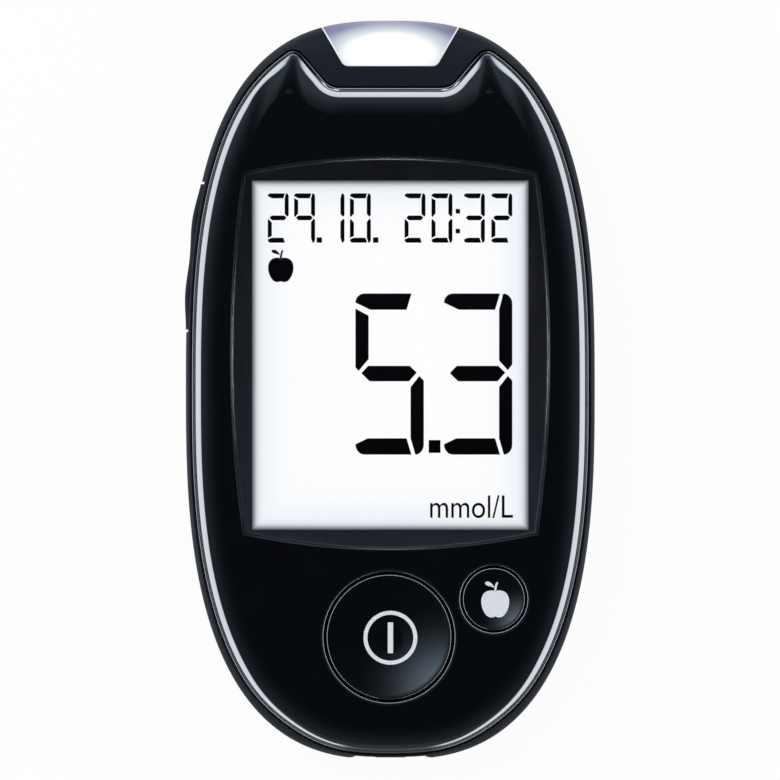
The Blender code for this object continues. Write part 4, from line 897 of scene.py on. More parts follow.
def along_saddle(middle, edge):
    """True for the nose's upper edge beside the front cover."""
    return all(vertex.co.z > FRAME_TOP for vertex in edge.verts) and (
        middle.y < HALF_LENGTH - 3 * MM
    ) and abs(middle.x) < EAR_START.x - 0.05 * MM and abs(edge.verts[0].co.z - edge.verts[1].co.z) < 0.5 * MM


soften(nose, 0.14 * MM, 3, along_saddle)
add(band, nose)
cut(band, prism("lens_hole", lens_outline(SEAM / 3), 0, COVER_TOP))
ROCKER_LOW, ROCKER_HIGH, ROCKER_GAP = 8.25 * MM, 29.6 * MM, 0.35 * MM
ROCKER_FOOT, ROCKER_TOP = 6.4 * MM, 11.6 * MM


def rocker_tool():
    low = (-HALF_WIDTH - OVERRUN, ROCKER_LOW, ROCKER_FOOT - SEAM)
    return slab("rocker_hole", low, (-24.4 * MM, ROCKER_HIGH, ROCKER_TOP + SEAM))


cut(band, rocker_tool())
print("nose height in mm:", NOSE_TOP / MM)

# %% [markdown]
# ## Rear shell
# The rear shell is a shallow bowl with a generous rounding, so that the meter sits well in the hand. Its
# floor has the battery door, a label recess and four screw wells, and its ends have the strip slot and
# the socket.

# %% Rear shell
REAR_HEIGHT, REAR_ROUND, WALL = 9 * MM, 8.5 * MM, 1.8 * MM
REAR_STEPS = 18


def rear_rings(inset, floor, top, steps=REAR_STEPS):
    """Rings of the rounded side, from the floor up to the rim."""
    rings = []
    for step in range(steps, -1, -1):
        angle = math.pi / 2 * step / steps
        height = REAR_HEIGHT - (REAR_HEIGHT - floor) * math.sin(angle)
        rings.append(oval_ring(inset + REAR_ROUND * (1 - math.cos(angle)), min(height, top)))
    return rings


rim = REAR_HEIGHT - SEAM / 2
outer = rear_rings(0, 0, rim)
inner = rear_rings(WALL, WALL, rim, 8)
rear = loft("rear_shell", outer + inner[::-1])
SCREW_PLACES = ((14.5, 39.5), (-14.5, 39.5), (14.0, -42.5), (-14.0, -42.5))
SCREW_STEPS = 48
BOSS_RADIUS, SEAT_RADIUS, SEAT_DEPTH = 3 * MM, 2.1 * MM, 3.6 * MM
form = loft("boss_form", rear_rings(WALL / 2, WALL / 2, rim))
bosses = [
    prism("boss", disc((x * MM, y * MM), BOSS_RADIUS, SCREW_STEPS), 0.5 * MM, rim - 0.2 * MM)
    for x, y in SCREW_PLACES
]
for boss in bosses:
    cut(boss, copy_to(form, "boss_form_copy", (0, 0, 0)), "INTERSECT")
    add(rear, boss)
bpy.data.objects.remove(form)
for x, y in SCREW_PLACES:
    cut(rear, prism("seat", disc((x * MM, y * MM), SEAT_RADIUS, SCREW_STEPS), -OVERRUN, SEAT_DEPTH))
    cut(rear, prism("bore", disc((x * MM, y * MM), 1.2 * MM, SCREW_STEPS), 0, COVER_TOP))


def rounded_rectangle(width, length, radius, centre, steps=8):
    points = []
    for corner in range(4):
        start = math.pi / 2 * corner
        middle_x = math.copysign(width / 2 - radius, math.cos(start + math.pi / 4))
        middle_y = math.copysign(length / 2 - radius, math.sin(start + math.pi / 4))
        points += arc((centre[0] + middle_x, centre[1] + middle_y), radius, start, start + math.pi / 2, steps)
    return points


DOOR_WIDTH, DOOR_LENGTH, DOOR_ROUND = 24.5 * MM, 47.5 * MM, 2 * MM
LABEL_WIDTH, LABEL_LENGTH, LABEL_ROUND, LABEL_Y = 22 * MM, 12 * MM, 1 * MM, -34.5 * MM
LABEL_DEPTH = 0.65 * MM


def door_outline(margin):
    return rounded_rectangle(DOOR_WIDTH + 2 * margin, DOOR_LENGTH + 2 * margin, DOOR_ROUND + margin, (0, 0))


def label_outline(margin, radius):
    return rounded_rectangle(LABEL_WIDTH + 2 * margin, LABEL_LENGTH + 2 * margin, radius, (0, LABEL_Y))


def lies_at(height):
    """A test for edges that lie at or below a height."""
    return lambda middle, edge: all(vertex.co.z < height + 0.01 * MM for vertex in edge.verts)


cut(rear, prism("door_hole", door_outline(SEAM), -OVERRUN, 2 * WALL))
cut(rear, prism("label_recess", label_outline(SEAM, LABEL_ROUND + SEAM), -OVERRUN, LABEL_DEPTH))
soften(rear, 0.15 * MM, 2, lies_at(0))
cut(rear, slab("slot", (-3.6 * MM, HALF_LENGTH - OVERRUN, 6.9 * MM), (3.6 * MM, HALF_LENGTH + OVERRUN, 7.9 * MM)))
cut(rear, slab(
    "socket", (-4.9 * MM, -HALF_LENGTH - OVERRUN, 5.1 * MM), (4.9 * MM, OVERRUN - HALF_LENGTH, COVER_TOP),
))
cut(rear, rocker_tool())
RECESS_DEPTH, RECESS_FOOT = 0.4 * MM, 4.2 * MM
RECESS_SIDE = (
    (4.9, 48.5), (4.9, 51.5), (4.93, 51.8), (5.05, 51.99), (5.3, 52.1), (5.6, 52.18), (6.0, 52.25), (8.0, 53.2),
)


def recess_core(name):
    """The outline's body, set back by the recess's depth."""
    core = rear_rings(RECESS_DEPTH, 0, REAR_HEIGHT)
    core.append(oval_ring(RECESS_DEPTH, COVER_TOP + OVERRUN))
    return loft(name, core)


def recess_tool():
    """What the recess in the bottom edge takes away; its ends run out softly."""
    side = smooth_shares([(x * MM, -y * MM) for x, y in RECESS_SIDE], 2)
    tool = prism("recess", side + [(-x, y) for x, y in reversed(side)], RECESS_FOOT, COVER_TOP)
    cut(tool, recess_core("recess_core"))
    return tool


cut(rear, recess_tool())
cut(band, recess_tool())
finish_piece(rear, "housing", matt_abs, "matt_shell", "rear_cover")
finish_piece(band, "housing", matt_abs, "matt_shell", "middle_frame")

# %% [markdown]
# ## Light over the strip port
# The lens fills the nose's opening and follows the same dome.

# %% Lens
LENS_WALL = 2 * MM
lens = prism("port_lens", lens_outline(0), FRAME_FOOT, COVER_TOP)
cut(lens, loft("lens_form", nose_rings(0, 0)), "INTERSECT")
cut(lens, loft("lens_inner", nose_rings(LENS_WALL, LENS_WALL, 0)))
soften(lens, 0.12 * MM, 3, lambda middle, edge: middle.z > FRAME_FOOT + 1 * MM and middle.y < LENS_TOP_Y)
finish_piece(lens, "housing", lens_pc, "frosted_lens", "port_light_lens")

# %% [markdown]
# ## Round buttons
# Each button is turned: a stem, a flange that keeps it in the cover, a side and a dished top. The dish
# steepens towards the rim, so a light above the meter shows as a soft glow on the far side of the dish.


# %% Buttons
STEM_FOOT, FLANGE_FOOT, FLANGE_TOP = 13.9 * MM, 14.6 * MM, 15.3 * MM
DISH_STEPS, KEY_EDGE = 14, 0.2 * MM
POWER_DISH, MARK_DISH = 0.68 * MM, 0.34 * MM


def key_profile(radius, dish, flange, stem):
    """Radius and height pairs from the stem's foot to the middle of the dish."""
    top, edge = COVER_TOP - 0.02 * MM, KEY_EDGE
    profile = [(0.4 * stem, STEM_FOOT), (stem, STEM_FOOT), (stem, FLANGE_FOOT), (flange, FLANGE_FOOT)]
    profile += [(flange, FLANGE_TOP), (radius, FLANGE_TOP), (radius, top - edge)]
    for step in range(1, 6):
        angle = math.radians(84 * step / 5)
        profile.append((radius - edge * (1 - math.cos(angle)), top - edge * (1 - math.sin(angle))))
    start = radius - edge
    for step in range(DISH_STEPS):
        share = 1 - step / DISH_STEPS
        profile.append((start * share, top - dish * (1 - share ** 2)))
    return profile


power_key = turned("power_key_cap", POWER_PLACE, key_profile(POWER_RADIUS, POWER_DISH, 9.75 * MM, 1.6 * MM))
finish_piece(power_key, "power_key", gloss_abs, "gloss_shell", "power_button")
mark_key = turned("mark_key_cap", MARK_PLACE, key_profile(MARK_RADIUS, MARK_DISH, 5.27 * MM, 1.2 * MM))
finish_piece(mark_key, "mark_key", gloss_abs, "gloss_shell", "mark_button")

# %% [markdown]
# ## Signs and figures
# The signs on the buttons are pad printed, and the figures are segments of the display. Both are thin
# flat shapes: an outline is filled and extruded by a hair. Several outlines can share one mesh.


# %% Flat shapes
def flat_shapes(name, outlines, low, thickness):
    """Fills outlines side by side in one mesh and gives them a thickness, or none."""
    pick()
    bpy.ops.mesh.primitive_circle_add(vertices=len(outlines[0]), radius=1 * MM)
    piece = bpy.context.object
    piece.name = piece.data.name = name
    bpy.ops.object.mode_set(mode="EDIT")
    for number, outline in enumerate(outlines):
        if number:
            bpy.ops.mesh.select_all(action="DESELECT")
            bpy.ops.mesh.primitive_circle_add(vertices=len(outline), radius=1 * MM)
        form = bmesh.from_edit_mesh(piece.data)
        picked = [vertex for vertex in form.verts if vertex.select]
        for vertex, point in zip(picked, outline):
            vertex.co = (point[0], point[1], low)
        bmesh.update_edit_mesh(piece.data)
        bpy.ops.mesh.edge_face_add()
    if thickness:
        bpy.ops.mesh.select_all(action="SELECT")
        bpy.ops.mesh.normals_make_consistent(inside=False)
        bpy.ops.mesh.extrude_region_move(TRANSFORM_OT_translate={"value": (0, 0, thickness)})
        bpy.ops.mesh.select_all(action="SELECT")
        bpy.ops.mesh.normals_make_consistent(inside=False)
    bpy.ops.object.mode_set(mode="OBJECT")
    return piece


# %% [markdown]
# A figure has seven segments, lettered a to g from the top clockwise, with g in the middle. They are
# drawn once on a grid of 429 by 1009 units and scaled. The corners of the figure are rounded, and the
# gaps between segments are slanted.

# %% Segments
FIGURE_GRID = (429, 1009)


def corner(centre, radii, first, last, steps=6):
    """Points on a rounded corner, from one angle to another in degrees."""
    turns = [math.radians(first + (last - first) * step / steps) for step in range(steps + 1)]
    return [(centre[0] + radii[0] * math.cos(turn), centre[1] + radii[1] * math.sin(turn)) for turn in turns]


SEGMENTS = {
    "a": corner((56, 57), (56, 57), 180, 270) + [(352, 0), (321, 102), (94, 102)],
    "b": [(346, 102), (372, 0)] + corner((372, 64), (57, 64), -80, 0) + [(429, 444), (401, 480), (346, 420)],
    "c": [(401, 516), (429, 545)] + corner((376, 945), (53, 64), 0, 80) + [(376, 1009), (346, 907), (346, 586)],
    "d": corner((56, 944), (56, 65), 90, 180) + [(77, 907), (321, 907), (352, 1009)],
    "f": [(0, 94), (83, 139), (83, 411), (20, 485), (0, 463)],
    "e": [(0, 546), (20, 524), (83, 598), (83, 870), (0, 915)],
    "g": [(37, 499), (80, 453), (341, 453), (385, 495), (337, 550), (89, 550)],
}
FIGURES = {"0": "abcdef", "1": "bc", "2": "abged", "3": "abgcd", "5": "afgcd", "9": "abcfg"}


def figure(sign, left, top, width, height):
    """The outlines of one figure, with its upper left corner at a place."""
    return [
        [(left + x / FIGURE_GRID[0] * width, top - y / FIGURE_GRID[1] * height) for x, y in SEGMENTS[letter]]
        for letter in FIGURES[sign]
    ]


def square(left, top, width, height):
    return [(left, top - height), (left + width, top - height), (left + width, top), (left, top)]


SMALL_TOP, SMALL_SIZE = 27.9 * MM, (2.97 * MM, 7.0 * MM)
SMALL_LEFTS = (
    ("2", -17.38), ("9", -13.64), ("1", -9.47), ("0", -5.73), ("2", 2.02), ("0", 5.84), ("3", 10.44), ("2", 14.33),
)
outlines = []
for sign, left in SMALL_LEFTS:
    outlines += figure(sign, left * MM, SMALL_TOP, *SMALL_SIZE)
LARGE_TOP, LARGE_SIZE = 13.7 * MM, (9.7 * MM, 22.85 * MM)
for sign, left in (("5", -4.95), ("3", 7.6)):
    outlines += figure(sign, left * MM, LARGE_TOP, *LARGE_SIZE)
DOT = 0.76 * MM
outlines += [square(left * MM, SMALL_TOP - SMALL_SIZE[1] + DOT, DOT, DOT) for left in (-10.45, -2.45)]
outlines += [square(9.27 * MM, top * MM, 0.62 * MM, 0.66 * MM) for top in (25.7, 22.88)]
outlines.append(square(5.44 * MM, -7.08 * MM, 1.68 * MM, 1.83 * MM))
CELL_TOP, INK = 15.3 * MM, 0.02 * MM
segments = flat_shapes("display_segments", outlines, CELL_TOP, INK)
finish_piece(segments, "housing", segment_ink, "display")

# %% [markdown]
# The reading taken after a meal is marked with a fruit, on the display and on the small button. It is one
# drawing in two sizes: a body with two lobes at each end, a stem and a leaf.

# %% Fruit sign
BODY_POINTS = (
    (0.0, 0.90), (0.14, 0.985), (0.36, 1.0), (0.62, 0.93), (0.86, 0.72), (0.99, 0.36), (0.985, -0.04),
    (0.87, -0.46), (0.66, -0.82), (0.42, -0.985), (0.2, -1.0), (0.0, -0.94),
)
STEM_POINTS = (
    (0.0, 0.92), (-0.08, 0.96), (-0.07, 1.1), (-0.02, 1.35), (0.06, 1.58), (0.17, 1.63), (0.2, 1.55),
    (0.13, 1.35), (0.09, 1.1), (0.085, 0.96),
)
LEAF_POINTS = (
    (-0.05, 1.21), (-0.3, 1.29), (-0.58, 1.38), (-0.72, 1.5), (-0.7, 1.62), (-0.56, 1.67), (-0.38, 1.62),
    (-0.18, 1.44),
)


def fruit(centre, half_width, half_height):
    """The outlines of the fruit's body, stem and leaf."""
    body = smooth_shares(BODY_POINTS, 4)
    body += [(-x, y) for x, y in reversed(body[1:-1])]
    loops = [body]
    for table in (STEM_POINTS, LEAF_POINTS):
        loops.append(smooth_shares(table + (table[0],), 3)[:-1])
    return [[(centre[0] + x * half_width, centre[1] + y * half_height) for x, y in loop] for loop in loops]


display_fruit = flat_shapes("display_fruit", fruit((-15.53 * MM, 17.05 * MM), 1.8 * MM, 1.72 * MM), CELL_TOP, INK)
finish_piece(display_fruit, "housing", segment_ink, "display")
MARK_FLOOR = COVER_TOP - MARK_DISH
fruit_sign = flat_shapes("mark_key_sign", fruit((14.87 * MM, -30.3 * MM), 1.98 * MM, 1.9 * MM), MARK_FLOOR, 0)

# %% [markdown]
# The button's sign lies in a dish, so the flat print is dropped onto it: Shrinkwrap projects its points
# straight down on the cap, a hair above the surface. The print is subdivided first, so that it can bend,
# and Solidify then gives it the thickness of a layer of ink.


# %% Print on the dishes
def lay_on(piece, target):
    """Projects a flat print straight down on the cap that carries it, and thickens it."""
    form = opened(piece)
    form.normal_update()
    for face in form.faces:
        if face.normal.z < 0:
            face.normal_flip()
    bmesh.update_edit_mesh(piece.data)
    bpy.ops.mesh.select_all(action="SELECT")
    bpy.ops.mesh.quads_convert_to_tris()
    bpy.ops.mesh.subdivide(number_cuts=3)
    bpy.ops.mesh.remove_doubles(threshold=0.001 * MM)
    bpy.ops.object.mode_set(mode="OBJECT")
    modify(
        piece, "SHRINKWRAP", target=target, wrap_method="PROJECT", wrap_mode="ABOVE_SURFACE", use_project_z=True,
        use_negative_direction=True, use_positive_direction=True, offset=PRINT_GAP,
    )
    modify(piece, "SOLIDIFY", thickness=PRINT_THICKNESS, offset=1.0)


PRINT_GAP, PRINT_THICKNESS = 0.012 * MM, 0.02 * MM
lay_on(fruit_sign, mark_key)
finish_piece(fruit_sign, "mark_key", silver_print, "light_plastic")
SIGN_PLACE, SIGN_OUTER, SIGN_STROKE = (0.02 * MM, -35.1 * MM), 3.82 * MM, 0.56 * MM
ring = start_ring("power_key_ring", level(disc(SIGN_PLACE, SIGN_OUTER - SIGN_STROKE, KEY_STEPS), COVER_TOP))
grow(level(disc(SIGN_PLACE, SIGN_OUTER, KEY_STEPS), COVER_TOP))
bpy.ops.object.mode_set(mode="OBJECT")
ring.data.attributes.remove(ring.data.attributes["place"])
lay_on(ring, power_key)
finish_piece(ring, "power_key", silver_print, "light_plastic")
bar = flat_shapes("power_key_bar", [square(-0.36 * MM, -32.93 * MM, 0.76 * MM, 4.36 * MM)], COVER_TOP, 0)
lay_on(bar, power_key)
finish_piece(bar, "power_key", silver_print, "light_plastic")

# %% [markdown]
# The unit of the reading is set in type, as any such meter shows it. Blender's own font is made a mesh
# and stretched to the width and height that the display gives it.

# %% Unit
pick()
bpy.ops.object.text_add(location=(0, 0, 0))
unit = bpy.context.object
unit.data.body = "mmol/L"
unit.data.size = 4 * MM
unit.data.extrude = INK / 2
bpy.ops.object.convert(target="MESH")
unit = bpy.context.object
unit.name = unit.data.name = "display_unit"
UNIT_LEFT, UNIT_RIGHT, UNIT_FOOT, UNIT_TOP = 5.65 * MM, 17.4 * MM, -18.15 * MM, -14.9 * MM
points = [vertex.co.copy() for vertex in unit.data.vertices]
low_x, high_x = min(p.x for p in points), max(p.x for p in points)
low_y, high_y = min(p.y for p in points), max(p.y for p in points)
for vertex in unit.data.vertices:
    vertex.co.x = UNIT_LEFT + (vertex.co.x - low_x) / (high_x - low_x) * (UNIT_RIGHT - UNIT_LEFT)
    vertex.co.y = UNIT_FOOT + (vertex.co.y - low_y) / (high_y - low_y) * (UNIT_TOP - UNIT_FOOT)
    vertex.co.z += CELL_TOP + INK / 2
finish_piece(unit, "housing", segment_ink, "display")

# %% [markdown]
# ## Side rocker
# The rocker is a bowed bar that fills a gap in the band's left side, with a shallow bump at each end for
# the thumb and its long edges leaned in.

# %% Rocker
ROCKER_DEPTH, ROCKER_BULGE, ROCKER_DIP, ROCKER_LEAN = 1.6 * MM, 0.33 * MM, 0.05 * MM, 0.5 * MM
PIN_X, PIN_HOLE = -26.141 * MM, 0.7 * MM
ROCKER_STEPS, ROCKER_LENGTH = 48, ROCKER_HIGH - ROCKER_LOW - 2 * ROCKER_GAP
rocker_places = [ROCKER_HIGH - ROCKER_GAP - ROCKER_LENGTH * step / ROCKER_STEPS for step in range(ROCKER_STEPS + 1)]


def rocker_edge(y):
    share = (y - ROCKER_LOW) / (ROCKER_HIGH - ROCKER_LOW)
    return ROCKER_DIP + (ROCKER_BULGE - ROCKER_DIP) * math.sin(2 * math.pi * share) ** 2


rings = []
for upward, leaning in smooth_shares(((0.0, 1.0), (0.08, 0.4), (0.22, 0.0), (0.72, 0.0), (0.9, 0.4), (1.0, 1.0)), 3):
    face = [(-oval_half_width(y) - rocker_edge(y) + ROCKER_LEAN * leaning, y) for y in rocker_places]
    back = [(ROCKER_DEPTH - oval_half_width(y), y) for y in reversed(rocker_places)]
    rings.append(level(face + back, ROCKER_FOOT + (ROCKER_TOP - ROCKER_FOOT) * upward))
rocker = loft("rocker_bar", rings)
lug_y, lug_z = (ROCKER_LOW + ROCKER_HIGH) / 2, (ROCKER_FOOT + ROCKER_TOP) / 2
lug_x = ROCKER_DEPTH - oval_half_width(lug_y)
add(rocker, slab(
    "lug", (lug_x - 0.8 * MM, lug_y - 1.4 * MM, lug_z - 1.3 * MM), (lug_x + 1.8 * MM, lug_y + 1.4 * MM, 9.3 * MM),
))
cut(rocker, prism("bore", disc((PIN_X, lug_y), PIN_HOLE, 32), 0, COVER_TOP))
for y in (ROCKER_HIGH - ROCKER_GAP - 3 * MM, ROCKER_LOW + ROCKER_GAP + 3 * MM):
    wall = ROCKER_DEPTH - oval_half_width(y)
    add(rocker, slab("nub", (wall - 0.8 * MM, y - 0.8 * MM, 9.1 * MM), (wall + 0.8 * MM, y + 0.8 * MM, 10.3 * MM)))
finish_piece(rocker, "rocker", matt_abs, "matt_shell", "side_rocker")

# %% [markdown]
# ## Battery door
# The door is a plate with two hooks at its upper end and a snap at its lower end. A shallow well with
# raised ridges shows the thumb where to push. Hooks and snap follow the solid model.

# %% Battery door
DOOR_FOOT, DOOR_INNER, DOOR_EDGE = 0.1 * MM, 1.5 * MM, DOOR_LENGTH / 2
WELL_Y, WELL_HALF, WELL_STEPS = -16.5 * MM, (6.6 * MM, 4.2 * MM), 64
WELL_PROFILE = ((1.1, -0.4), (1.0, 0.1), (0.9, 0.26), (0.78, 0.38), (0.6, 0.48), (0.35, 0.54))
RIDGE_HALF, RIDGE_PITCH, RIDGE_SHARE = 0.3 * MM, 1.2 * MM, 0.8
RIDGE_PROFILE = ((0.18, 0.2), (0.08, 0.24), (0, 0.36), (0, 0.9))
door = prism("door_plate", door_outline(0), DOOR_FOOT, DOOR_INNER)
soften(door, 0.25 * MM, 3, lies_at(DOOR_FOOT))
wells = []
for share, height in WELL_PROFILE:
    half_x, half_y = [half * share for half in WELL_HALF]
    well = [(half_x * math.cos(turn), WELL_Y + half_y * math.sin(turn)) for turn in oval_turns(WELL_STEPS)]
    wells.append(level(well, height * MM))
cut(door, loft("thumb_well", wells))
for number in range(-2, 3):
    aside = number * RIDGE_PITCH
    half = WELL_HALF[0] * RIDGE_SHARE * math.sqrt(1 - (aside / WELL_HALF[1]) ** 2)
    ridge = []
    for inset, height in RIDGE_PROFILE:
        long, wide = half - inset * MM, RIDGE_HALF - inset * MM
        ridge.append(level(square(-long, WELL_Y + aside + wide, 2 * long, 2 * wide), height * MM))
    add(door, loft("ridge", ridge))
HOOK_X, HOOK_HALF, HOOK_REACH, HOOK_TOP = 7 * MM, 1.5 * MM, 1.2 * MM, 2.6 * MM
for low in (-HOOK_X - HOOK_HALF, HOOK_X - HOOK_HALF):
    high = low + 2 * HOOK_HALF
    add(door, slab("hook_root", (low, DOOR_EDGE - 0.8 * MM, 0.8 * MM), (high, DOOR_EDGE, HOOK_TOP)))
    add(door, slab(
        "hook", (low, DOOR_EDGE - 0.4 * MM, HOOK_TOP - 0.5 * MM), (high, DOOR_EDGE + HOOK_REACH, HOOK_TOP),
    ))
add(door, slab(
    "snap", (-3 * MM, 0.3 * MM - DOOR_EDGE, 0.8 * MM), (3 * MM, 1.1 * MM - DOOR_EDGE, 2.8 * MM),
))
finish_piece(door, "door", matt_abs, "matt_shell", "battery_door")

# %% [markdown]
# ## Socket cover
# A soft rubber plug closes the data socket. It follows the curve of the recess, and a small lip at its upper
# end gives a fingernail something to pull.

# %% Socket cover
COVER_HALF, COVER_LOW, COVER_HIGH = 4.6 * MM, 5.4 * MM, 8.85 * MM
outline = rounded_rectangle(2 * COVER_HALF, COVER_HIGH - COVER_LOW, 0.6 * MM, (0, (COVER_LOW + COVER_HIGH) / 2), 5)
socket_cover = loft("socket_cover", [
    [Vector((x, y, z)) for x, z in outline] for y in (-HALF_LENGTH - OVERRUN, -50.5 * MM)
])
cut(socket_cover, recess_core("cover_form"), "INTERSECT")
soften(socket_cover, 0.12 * MM, 2, lambda middle, edge: middle.y < -50.9 * MM)
lip_face = square(-2.2 * MM, 8.35 * MM, 4.4 * MM, 0.55 * MM)
lip = [
    [Vector((x * narrowed, y * MM, z)) for x, z in lip_face]
    for y, narrowed in ((-51.2, 1), (-52.1, 1), (-52.22, 0.94))
]
add(socket_cover, loft("lip", lip))
finish_piece(socket_cover, "port_flap", rubber, "black_rubber", "port_cover")

# %% [markdown]
# ## Label, screws and cells
# The label is a bare silver film with a printed frame. The screws have a cross recess, and the coin cells a
# rolled edge and a stamped plus sign. One of each is modelled, and the others are copies.

# %% Label
LABEL_OUTER, LABEL_INNER = 0.15 * MM, 0.35 * MM
FRAME_ROUND, FRAME_INNER, FRAME_OUTER = 0.8 * MM, 1.1 * MM, 0.8 * MM
label = prism("label_film", label_outline(0, LABEL_ROUND), LABEL_OUTER, LABEL_INNER)
soften(label, 0.04 * MM, 1, lies_at(LABEL_OUTER))
finish_piece(label, "housing", film, "label", "rear_label")
label_frame = loft("label_frame", [
    level(label_outline(-inset, FRAME_ROUND), height) for inset, height in (
        (FRAME_INNER, LABEL_OUTER), (FRAME_OUTER, LABEL_OUTER), (FRAME_OUTER, LABEL_OUTER - INK),
        (FRAME_INNER, LABEL_OUTER - INK), (FRAME_INNER, LABEL_OUTER),
    )
], joined=True)
finish_piece(label_frame, "housing", segment_ink, "label")


# %% Screws and cells
def cross(place, reach, half):
    """The outline of a plus sign."""
    quarter = [(reach, -half), (reach, half), (half, half)]
    points = []
    for _ in range(4):
        points += quarter
        quarter = [(-y, x) for x, y in quarter]
    return [(place[0] + x, place[1] + y) for x, y in points]


SCREW_TIP, HEAD_FOOT, HEAD_TOP = 13.7 * MM, 2.1 * MM, 3.3 * MM
first_place = [side * MM for side in SCREW_PLACES[0]]
screw = turned("screw_1", first_place, [(radius * MM, height) for radius, height in (
    (0.5, SCREW_TIP), (0.9, SCREW_TIP - 0.5 * MM), (0.9, HEAD_TOP), (1.8, HEAD_TOP), (1.8, HEAD_FOOT + 0.5 * MM),
    (1.68, HEAD_FOOT + 0.25 * MM), (1.4, HEAD_FOOT + 0.08 * MM), (1.0, HEAD_FOOT),
)], 32)
cut(screw, loft("cross_recess", [
    level(cross(first_place, reach * MM, half * MM), height) for reach, half, height in (
        (1.15, 0.24, HEAD_FOOT - 0.5 * MM), (1.1, 0.22, HEAD_FOOT), (0.55, 0.16, HEAD_FOOT + 0.8 * MM),
    )
]))
screws = [screw] + [
    copy_to(screw, f"screw_{number}", (x * MM - first_place[0], y * MM - first_place[1], 0))
    for number, (x, y) in enumerate(SCREW_PLACES[1:], 2)
]
for number, piece in enumerate(screws, 1):
    finish_piece(piece, "housing", nickel, "nickel", f"case_screw_{number}")
CELL_PLACE, CELL_FOOT = (0.0, 10.25 * MM), 1.8 * MM
cell = turned("coin_cell_upper", CELL_PLACE, [(radius * MM, CELL_FOOT + height * MM) for radius, height in (
    (9.1, 0), (9.55, 0.05), (9.85, 0.25), (10, 0.6), (10, 2.7), (9.9, 2.92), (9.4, 3.0), (8.9, 2.96),
    (8.7, 3.15), (8.4, 3.2),
)])
cut(cell, prism("plus_sign", cross(CELL_PLACE, 1.8 * MM, 0.28 * MM), 0, CELL_FOOT + 0.07 * MM))
lower_cell = copy_to(cell, "coin_cell_lower", (0, -2 * CELL_PLACE[1], 0))
finish_piece(cell, "housing", steel, "nickel", "battery_cell_upper")
finish_piece(lower_cell, "housing", steel, "nickel", "battery_cell_lower")

# %% [markdown]
# ## Finishes of the carried-over parts
# The parts inside keep their solid shapes and get the materials above in their slots.

# %% Materials of the inner parts
FINISHES = {
    lit_lcd: ("lcd_cell",),
    nickel: (
        "rocker_pin", "crystal", "power_snap_dome", "mark_snap_dome", "rocker_switch_up", "rocker_switch_down",
        "data_jack_shell",
    ),
    gilt: (
        "buzzer", "strip_contact_1", "strip_contact_2", "strip_contact_3", "cell_contact_plus",
        "cell_contact_minus", "cell_bridge",
    ),
    white_pc: ("light_guide", "lcd_holder", "port_led_left", "port_led_right", "strip_connector_lid"),
    rubber: ("zebra_strip_upper", "zebra_strip_lower"),
    epoxy: (
        "processor_chip", "measuring_chip", "memory_chip", "strip_connector_base", "battery_tray",
        "data_jack_tongue",
    ),
    silicone: ("keypad_mat",),
    board_fr4: ("main_board",),
}
for material, names in FINISHES.items():
    for name in names:
        for slot in nodes[name].material_slots:
            slot.material = material
print("carried-over parts:", sum(len(names) for names in FINISHES.values()))

# %% [markdown]
# ## Floor, light and camera
# The meter lies on a white table in a light tent. The camera and the mirrors of the meter see the tent
# itself, and the table keeps a trace of the shadow. A gloss black front only shows what it mirrors, so
# the tent has a bright strip all round it at a third of its height, much weaker at the near end, a soft
# lamp at the upper left, a roof that is lighter on the far side, and a dark opening overhead for the camera.

# %% Table
pick()
bpy.ops.mesh.primitive_plane_add(size=4.0, location=(0, 0, -0.05 * MM))
table = bpy.context.object
table.name = table.data.name = "table_top"
TABLE_GLOW = 0.95
white_table = bpy.data.materials.new("white_paper_table")
white_table.use_nodes = True
tree = white_table.node_tree
tree.nodes.clear()
paper = add_node(tree, "BsdfDiffuse", inputs={"Color": hexed("#f4f4f4")})
glow = add_node(tree, "Emission", inputs={"Color": hexed("#ffffff"), "Strength": 1.0})
path = add_node(tree, "LightPath")
seen = add_node(tree, "Math", "MAXIMUM", (path.outputs["Is Camera Ray"], path.outputs["Is Glossy Ray"]))
seen = add_node(tree, "Math", "MAXIMUM", (seen, path.outputs["Is Transmission Ray"]))
share = add_node(tree, "Math", "MULTIPLY", (seen, TABLE_GLOW))
mixed = add_node(tree, "MixShader", inputs=(share, paper, glow))
add_node(tree, "OutputMaterial", inputs={"Surface": mixed})
table.data.materials.append(white_table)
print("table:", table.name)

# %% Light tent
world = bpy.data.worlds.new("light_tent")
scene.world = world
world.use_nodes = True
tree = world.node_tree
tree.nodes.clear()
way = add_node(tree, "TexCoord").outputs["Generated"]
split = add_node(tree, "SeparateXYZ", inputs=(way,))
tent = add_node(tree, "ValToRGB", inputs=(split.outputs[2],))
tent.color_ramp.elements[0].color = (1, 1, 1, 1)
tent.color_ramp.elements[1].color = (0, 0, 0, 1)
for position, light in (
    (0.25, 0.8), (0.64, 0.5), (0.707, 0.34), (0.743, 0.28), (0.819, 0.15), (0.875, 0.07), (0.93, 0.01),
):
    tent.color_ramp.elements.new(position).color = (light, light, light, 1)
STRIP_ELEVATIONS, STRIP_LIGHT = (13, 18, 37, 41), 15.0
NARROW_FROM, NARROWING = -0.42, 0.4
NEAR_END = (-0.995, -0.965, 0.08, 1.0)
LAMP_TURN, LAMP_TILT, LAMP_SPREAD, LAMP_LIGHT = math.radians(137), math.radians(22), math.radians(11), 4.6
SCREEN_EDGE = [math.cos(math.radians(tilt)) for tilt in (20.5, 18)]
OVERHEAD_EDGE = [math.cos(math.radians(tilt)) for tilt in (5, 3)]
OVERHEAD_GLOW = (-0.014, 0.014, 0.0, 0.03)
FAR_GAIN, FAR_HEIGHTS = (-0.45, 0.6, 1.1, 2.6), (0.62, 0.7)
flat = add_node(tree, "CombineXYZ", inputs=(split, split.outputs[1]))
flat = add_node(tree, "VectorMath", "NORMALIZE", (flat,))
